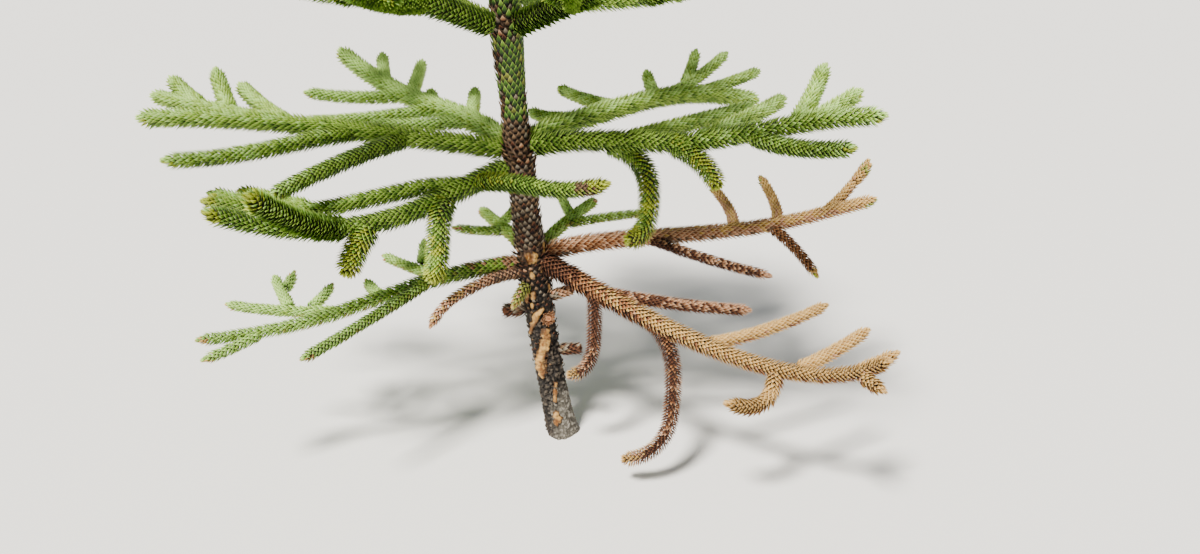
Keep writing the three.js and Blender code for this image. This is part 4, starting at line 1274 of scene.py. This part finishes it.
bpy.ops.mesh.primitive_grid_add(x_subdivisions=TRUNK_COLUMNS, y_subdivisions=TRUNK_ROWS, size=1)
trunk = bpy.context.object
trunk.name = "bark_of_trunk"
groove, weathered = [], []
for vertex in trunk.data.vertices:
    bearing = 360 * (vertex.co.x + 0.5)
    height = float(np.interp(vertex.co.y + 0.5, [0, FINE_SHARE, 1], [0, FINE_HEIGHT, TRUNK_TOP]))
    heading = math.radians(bearing % 360)
    bark = float(trunk_core(height)) + float(flare(height, bearing))
    place = Vector((math.cos(heading) * bark / PLATE_WIDE, math.sin(heading) * bark / PLATE_WIDE,
                    height / PLATE_TALL))
    place += PLATE_WARP * noise.noise_vector(place * WARP_SCALE)
    distances, cells = noise.voronoi(place)
    plate = min(1.0, (distances[1] - distances[0]) / CRACK_WIDE)
    lift = noise.cell(cells[0] * PLATE_DRAW)
    bare = float(np.interp(height, BARE_HEIGHTS, [1, 0]))
    depth = SCALED_CRACK + (CRACK - SCALED_CRACK) * bare
    rough = noise.fractal(place * ROUGH_SCALE, *ROUGH_LAYERS)
    facing = 0.5 + 0.5 * math.cos(heading - math.radians(WORN_SIDE))
    low = float(np.interp(height, WORN_HEIGHTS, [1, 0]))
    worn = min(1.0, max(0.0, WORN_REACH * low * facing**2 + WORN_RAGGED * rough - WORN_LIMIT))
    relief = depth * (1 - plate) - bare * PLATE_LIFT * (lift - LEVEL_PLATE)
    radius = bark - (1 - WORN_AWAY * worn) * relief + FLAKES * bare * rough
    vertex.co = (MM * (float(trunk_line(height)) + radius * math.cos(heading)),
                 MM * radius * math.sin(heading), MM * height)
    groove.append(plate * (1 - PLATE_TONE + PLATE_TONE * lift) + FLAKE_TONE * rough)
    weathered.append(worn)
values_on(trunk, "groove", groove)
values_on(trunk, "weathered", weathered)
bpy.ops.object.mode_set(mode="EDIT")
bpy.ops.mesh.select_all(action="SELECT")
bpy.ops.mesh.remove_doubles(threshold=0.00001)
bpy.ops.mesh.select_mode(type="VERT")
bpy.ops.mesh.select_all(action="DESELECT")
bpy.ops.mesh.select_non_manifold()
bpy.ops.mesh.fill_holes(sides=0)
bpy.ops.mesh.select_all(action="SELECT")
bpy.ops.mesh.normals_make_consistent(inside=False)
bpy.ops.object.mode_set(mode="OBJECT")
bpy.ops.object.shade_smooth_by_angle(angle=math.radians(60))
print("trunk:", len(trunk.data.vertices), "points")

# %% Material of the bark
BARK_TONES = {  # in the grooves, on the ridges
    "black": ("#120d09", "#51463a"), "scaled": ("#3a2618", "#806852"),
    "grey": ("#514c43", "#9d978a"),
}
bark, tree, shader = blank_material("rough_dark_bark")
place = add(tree, "TexCoord").outputs["Object"]
parts = add(tree, "SeparateXYZ", {0: place})
groove_value = add(tree, "Attribute", attribute_name="groove").outputs["Fac"]
weather_value = add(tree, "Attribute", attribute_name="weathered").outputs["Fac"]
fine = add(tree, "TexNoise", {"Vector": place, "Scale": 210.0, "Detail": 4.0})  # 5 mm flakes
mixed = add(tree, "Math", {0: fine.outputs["Fac"], 1: 0.55, 2: groove_value},
            operation="MULTIPLY_ADD")
ridge = add(tree, "MapRange", {"Value": mixed.outputs[0], 1: 0.45, 2: 1.35}).outputs[0]
tones = {
    name: add(tree, "Mix", {0: ridge, 6: linear(in_groove), 7: linear(on_ridge)},
              data_type="RGBA").outputs[2]
    for name, (in_groove, on_ridge) in BARK_TONES.items()
}
flecks = add(tree, "TexNoise", {"Vector": place, "Scale": 85.0, "Detail": 3.0})  # 12 mm
fleck_share = add(tree, "MapRange", {"Value": flecks.outputs["Fac"], 1: 0.59, 2: 0.71})
fleck_high = add(tree, "Math", {0: fleck_share.outputs[0], 1: ridge}, operation="MULTIPLY")
flecked = add(tree, "Mix", {0: fleck_high.outputs[0], 6: tones["black"], 7: linear("#7d7161")},
              data_type="RGBA")
upper = add(tree, "MapRange", {"Value": parts.outputs[2], 1: BARE_HEIGHTS[0] * MM,
                               2: BARE_HEIGHTS[1] * MM})
lower_tone = add(tree, "Mix", {0: weather_value, 6: flecked.outputs[2], 7: tones["grey"]},
                 data_type="RGBA")
tone = add(tree, "Mix", {0: upper.outputs[0], 6: lower_tone.outputs[2], 7: tones["scaled"]},
           data_type="RGBA")
tree.links.new(tone.outputs[2], shader.inputs["Base Color"])
shader.inputs["Roughness"].default_value = 0.9
bump = add(tree, "Bump", {"Height": fine.outputs["Fac"], "Strength": 0.7, "Distance": 0.0015})
tree.links.new(bump.outputs[0], shader.inputs["Normal"])
trunk.data.materials.append(bark)
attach(trunk, "root")
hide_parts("trunk")
print("bark:", len(tree.nodes), "nodes")

# %% [markdown]
# ## Resin and the cut limb
#
# The lower trunk has bled. Resin has run down the bark and set hard and matt, tan where it is
# thick and brown at its edges. The table of lumps above says how deep inside a lump every place
# on the bark is. A fine grid over the bark is kept where that is above zero and a little beyond,
# so that the edges dip into the bark. A Solidify modifier closes it.

# %% Lumps of resin
RESIN_HEIGHTS, RESIN_BEARINGS = (40, 716), (196, 356)  # the part of the bark that is searched
RESIN_GRID, RESIN_TURN = 2.0, 2.0  # millimetres of height and degrees between points
RESIN_EDGE = -0.3  # how far outside a lump the grid is kept
RESIN_DIP = 14  # millimetres that it dips for each unit outside
RESIN_SHELL = 4  # thickness of the closed shell
LUMP_UNEVEN, LUMP_WIDE, LUMP_TALL = 0.8, 9, 11  # share, degrees and millimetres of its swellings
grid_height, grid_bearing = np.meshgrid(
    np.arange(*RESIN_HEIGHTS, RESIN_GRID), np.arange(*RESIN_BEARINGS, RESIN_TURN), indexing="ij")
inside, thick = resin_at(grid_height, grid_bearing)
lump = np.array([noise.noise(Vector((b / LUMP_WIDE, h / LUMP_TALL, 5)))
                 for h, b in zip(grid_height.ravel(), grid_bearing.ravel())])
uneven = 1 + LUMP_UNEVEN * lump.reshape(inside.shape)
dome = np.sqrt(np.clip(inside, 0, 1)) * thick * uneven
surface = on_trunk(grid_height, grid_bearing, np.where(inside > 0, dome, RESIN_DIP * inside))[0]
kept = inside > RESIN_EDGE
faces = kept[:-1, :-1] & kept[1:, :-1] & kept[:-1, 1:] & kept[1:, 1:]
for _ in range(3):  # where two faces would meet at one corner only, both gaps are filled
    falling = faces[:-1, :-1] & faces[1:, 1:] & ~faces[:-1, 1:] & ~faces[1:, :-1]
    rising = ~faces[:-1, :-1] & ~faces[1:, 1:] & faces[:-1, 1:] & faces[1:, :-1]
    faces[:-1, 1:] |= falling
    faces[1:, :-1] |= falling
    faces[:-1, :-1] |= rising
    faces[1:, 1:] |= rising
index = np.arange(inside.size).reshape(inside.shape)
rows, columns = np.nonzero(faces)
quads = np.stack([index[rows, columns], index[rows, columns + 1], index[rows + 1, columns + 1],
                  index[rows + 1, columns]], -1)
used, corners = np.unique(quads, return_inverse=True)
resin = mesh_piece("resin_lumps", surface.reshape(-1, 3)[used], corners.ravel(),
                   np.full(len(quads), 4), smooth=True)
values_on(resin, "inside", inside.ravel()[used])
shell = resin.modifiers.new("shell", "SOLIDIFY")
shell.thickness = RESIN_SHELL * MM
shell.offset = -1
bpy.ops.object.select_all(action="DESELECT")
resin.select_set(True)
bpy.context.view_layer.objects.active = resin
bpy.ops.object.modifier_apply(modifier=shell.name)
print("resin:", len(resin.data.polygons), "faces")

# %% Material of the resin
hard_resin, tree, shader = blank_material("hardened_resin_matt")
place = add(tree, "TexCoord").outputs["Object"]
stain = add(tree, "TexNoise", {"Vector": place, "Scale": 45.0, "Detail": 3.0})
stain_range = add(tree, "MapRange", {"Value": stain.outputs["Fac"], 1: 0.4, 2: 0.6})
thick_tone = add(tree, "Mix", {0: stain_range.outputs[0], 6: linear("#74481c"),
                               7: linear("#be9452")}, data_type="RGBA")
inside_value = add(tree, "Attribute", attribute_name="inside").outputs["Fac"]
edge_range = add(tree, "MapRange", {"Value": inside_value, 1: 0.04, 2: 0.46})
tone = add(tree, "Mix", {0: edge_range.outputs[0], 6: linear("#4c3116"),
                         7: thick_tone.outputs[2]}, data_type="RGBA")
tree.links.new(tone.outputs[2], shader.inputs["Base Color"])
shader.inputs["Roughness"].default_value = 0.55
shader.inputs["Specular IOR Level"].default_value = 0.35
crust = add(tree, "TexNoise", {"Vector": place, "Scale": 300.0, "Detail": 2.0})
bump = add(tree, "Bump", {"Height": crust.outputs["Fac"], "Strength": 0.35, "Distance": 0.001})
tree.links.new(bump.outputs[0], shader.inputs["Normal"])
resin.data.materials.append(hard_resin)
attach(resin, "root")
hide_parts("trunk")

# %% [markdown]
# ## The face of the cut limb
#
# A limb was cut off close to the trunk. Its face is a low dome of orange-brown wood with rings.
# It starts as a cylinder whose outer end is inset and pushed in, and subdivision rounds its rim.

# %% Model the cut face
CUT_DEPTH, CUT_SIDES = 16, 28
CUT_STEPS = [(2, 1.5), (2.5, -2), (2.5, 1)]  # millimetres: inset, and depth after it
CUT_UNEVEN, CUT_GRAIN = 1.6, 130  # millimetres, and bumps for each metre
middle, outward = on_trunk(CUT_HEIGHT, CUT_BEARING, 1)
tilt = Vector(outward).to_track_quat("Z", "Y").to_euler()
bpy.ops.mesh.primitive_cylinder_add(vertices=CUT_SIDES, radius=CUT_RADIUS * MM,
                                    depth=CUT_DEPTH * MM, location=tuple(middle * MM),
                                    rotation=tilt)
cut = bpy.context.object
cut.name = "cut_limb_face"
bpy.ops.object.transform_apply(location=True, rotation=True, scale=True)
bpy.ops.object.mode_set(mode="EDIT")
bpy.ops.mesh.select_mode(type="FACE")
bpy.ops.mesh.select_all(action="DESELECT")
bpy.ops.object.mode_set(mode="OBJECT")
for face in cut.data.polygons:
    face.select = face.normal.dot(Vector(outward)) > 0.9  # the outer end only
bpy.ops.object.mode_set(mode="EDIT")
for inset, depth in CUT_STEPS:
    bpy.ops.mesh.inset(thickness=inset * MM, depth=depth * MM)
bpy.ops.object.mode_set(mode="OBJECT")
for vertex in cut.data.vertices:
    vertex.co += CUT_UNEVEN * MM * noise.noise_vector(vertex.co * CUT_GRAIN)
rounding = cut.modifiers.new("rounding", "SUBSURF")
rounding.levels = rounding.render_levels = 2
bpy.ops.object.modifier_apply(modifier=rounding.name)
bpy.ops.object.shade_smooth()
print("cut face:", len(cut.data.polygons), "faces")

# %% Material of the cut
cut_wood, tree, shader = blank_material("cut_resinous_wood")
place = add(tree, "TexCoord").outputs["Object"]
centre = add(tree, "Mapping", {"Vector": place, "Location": tuple(-middle * MM)})
rings = add(tree, "TexWave", {"Vector": centre.outputs[0], "Scale": 75.0, "Distortion": 3.0,
                              "Detail": 2.0}, wave_type="RINGS", rings_direction="SPHERICAL")
tone = add(tree, "Mix", {0: rings.outputs["Fac"], 6: linear("#9a5a34"), 7: linear("#cd9362")},
           data_type="RGBA")
tree.links.new(tone.outputs[2], shader.inputs["Base Color"])
shader.inputs["Roughness"].default_value = 0.7
cut.data.materials.append(cut_wood)
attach(cut, "root")
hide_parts("trunk")

# %% [markdown]
# ## The sizes of both boxes
#
# The box of the dressed tree should stay close to the box of the solids. The sizes of both
# boxes are printed side by side.

# %% Sizes
dressed_box = [list(corner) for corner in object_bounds()]
for word, low, high_corner in (("solids", *cad_box), ("dressed", *dressed_box)):
    print(word, [round(b - a, 3) for a, b in zip(low, high_corner)])
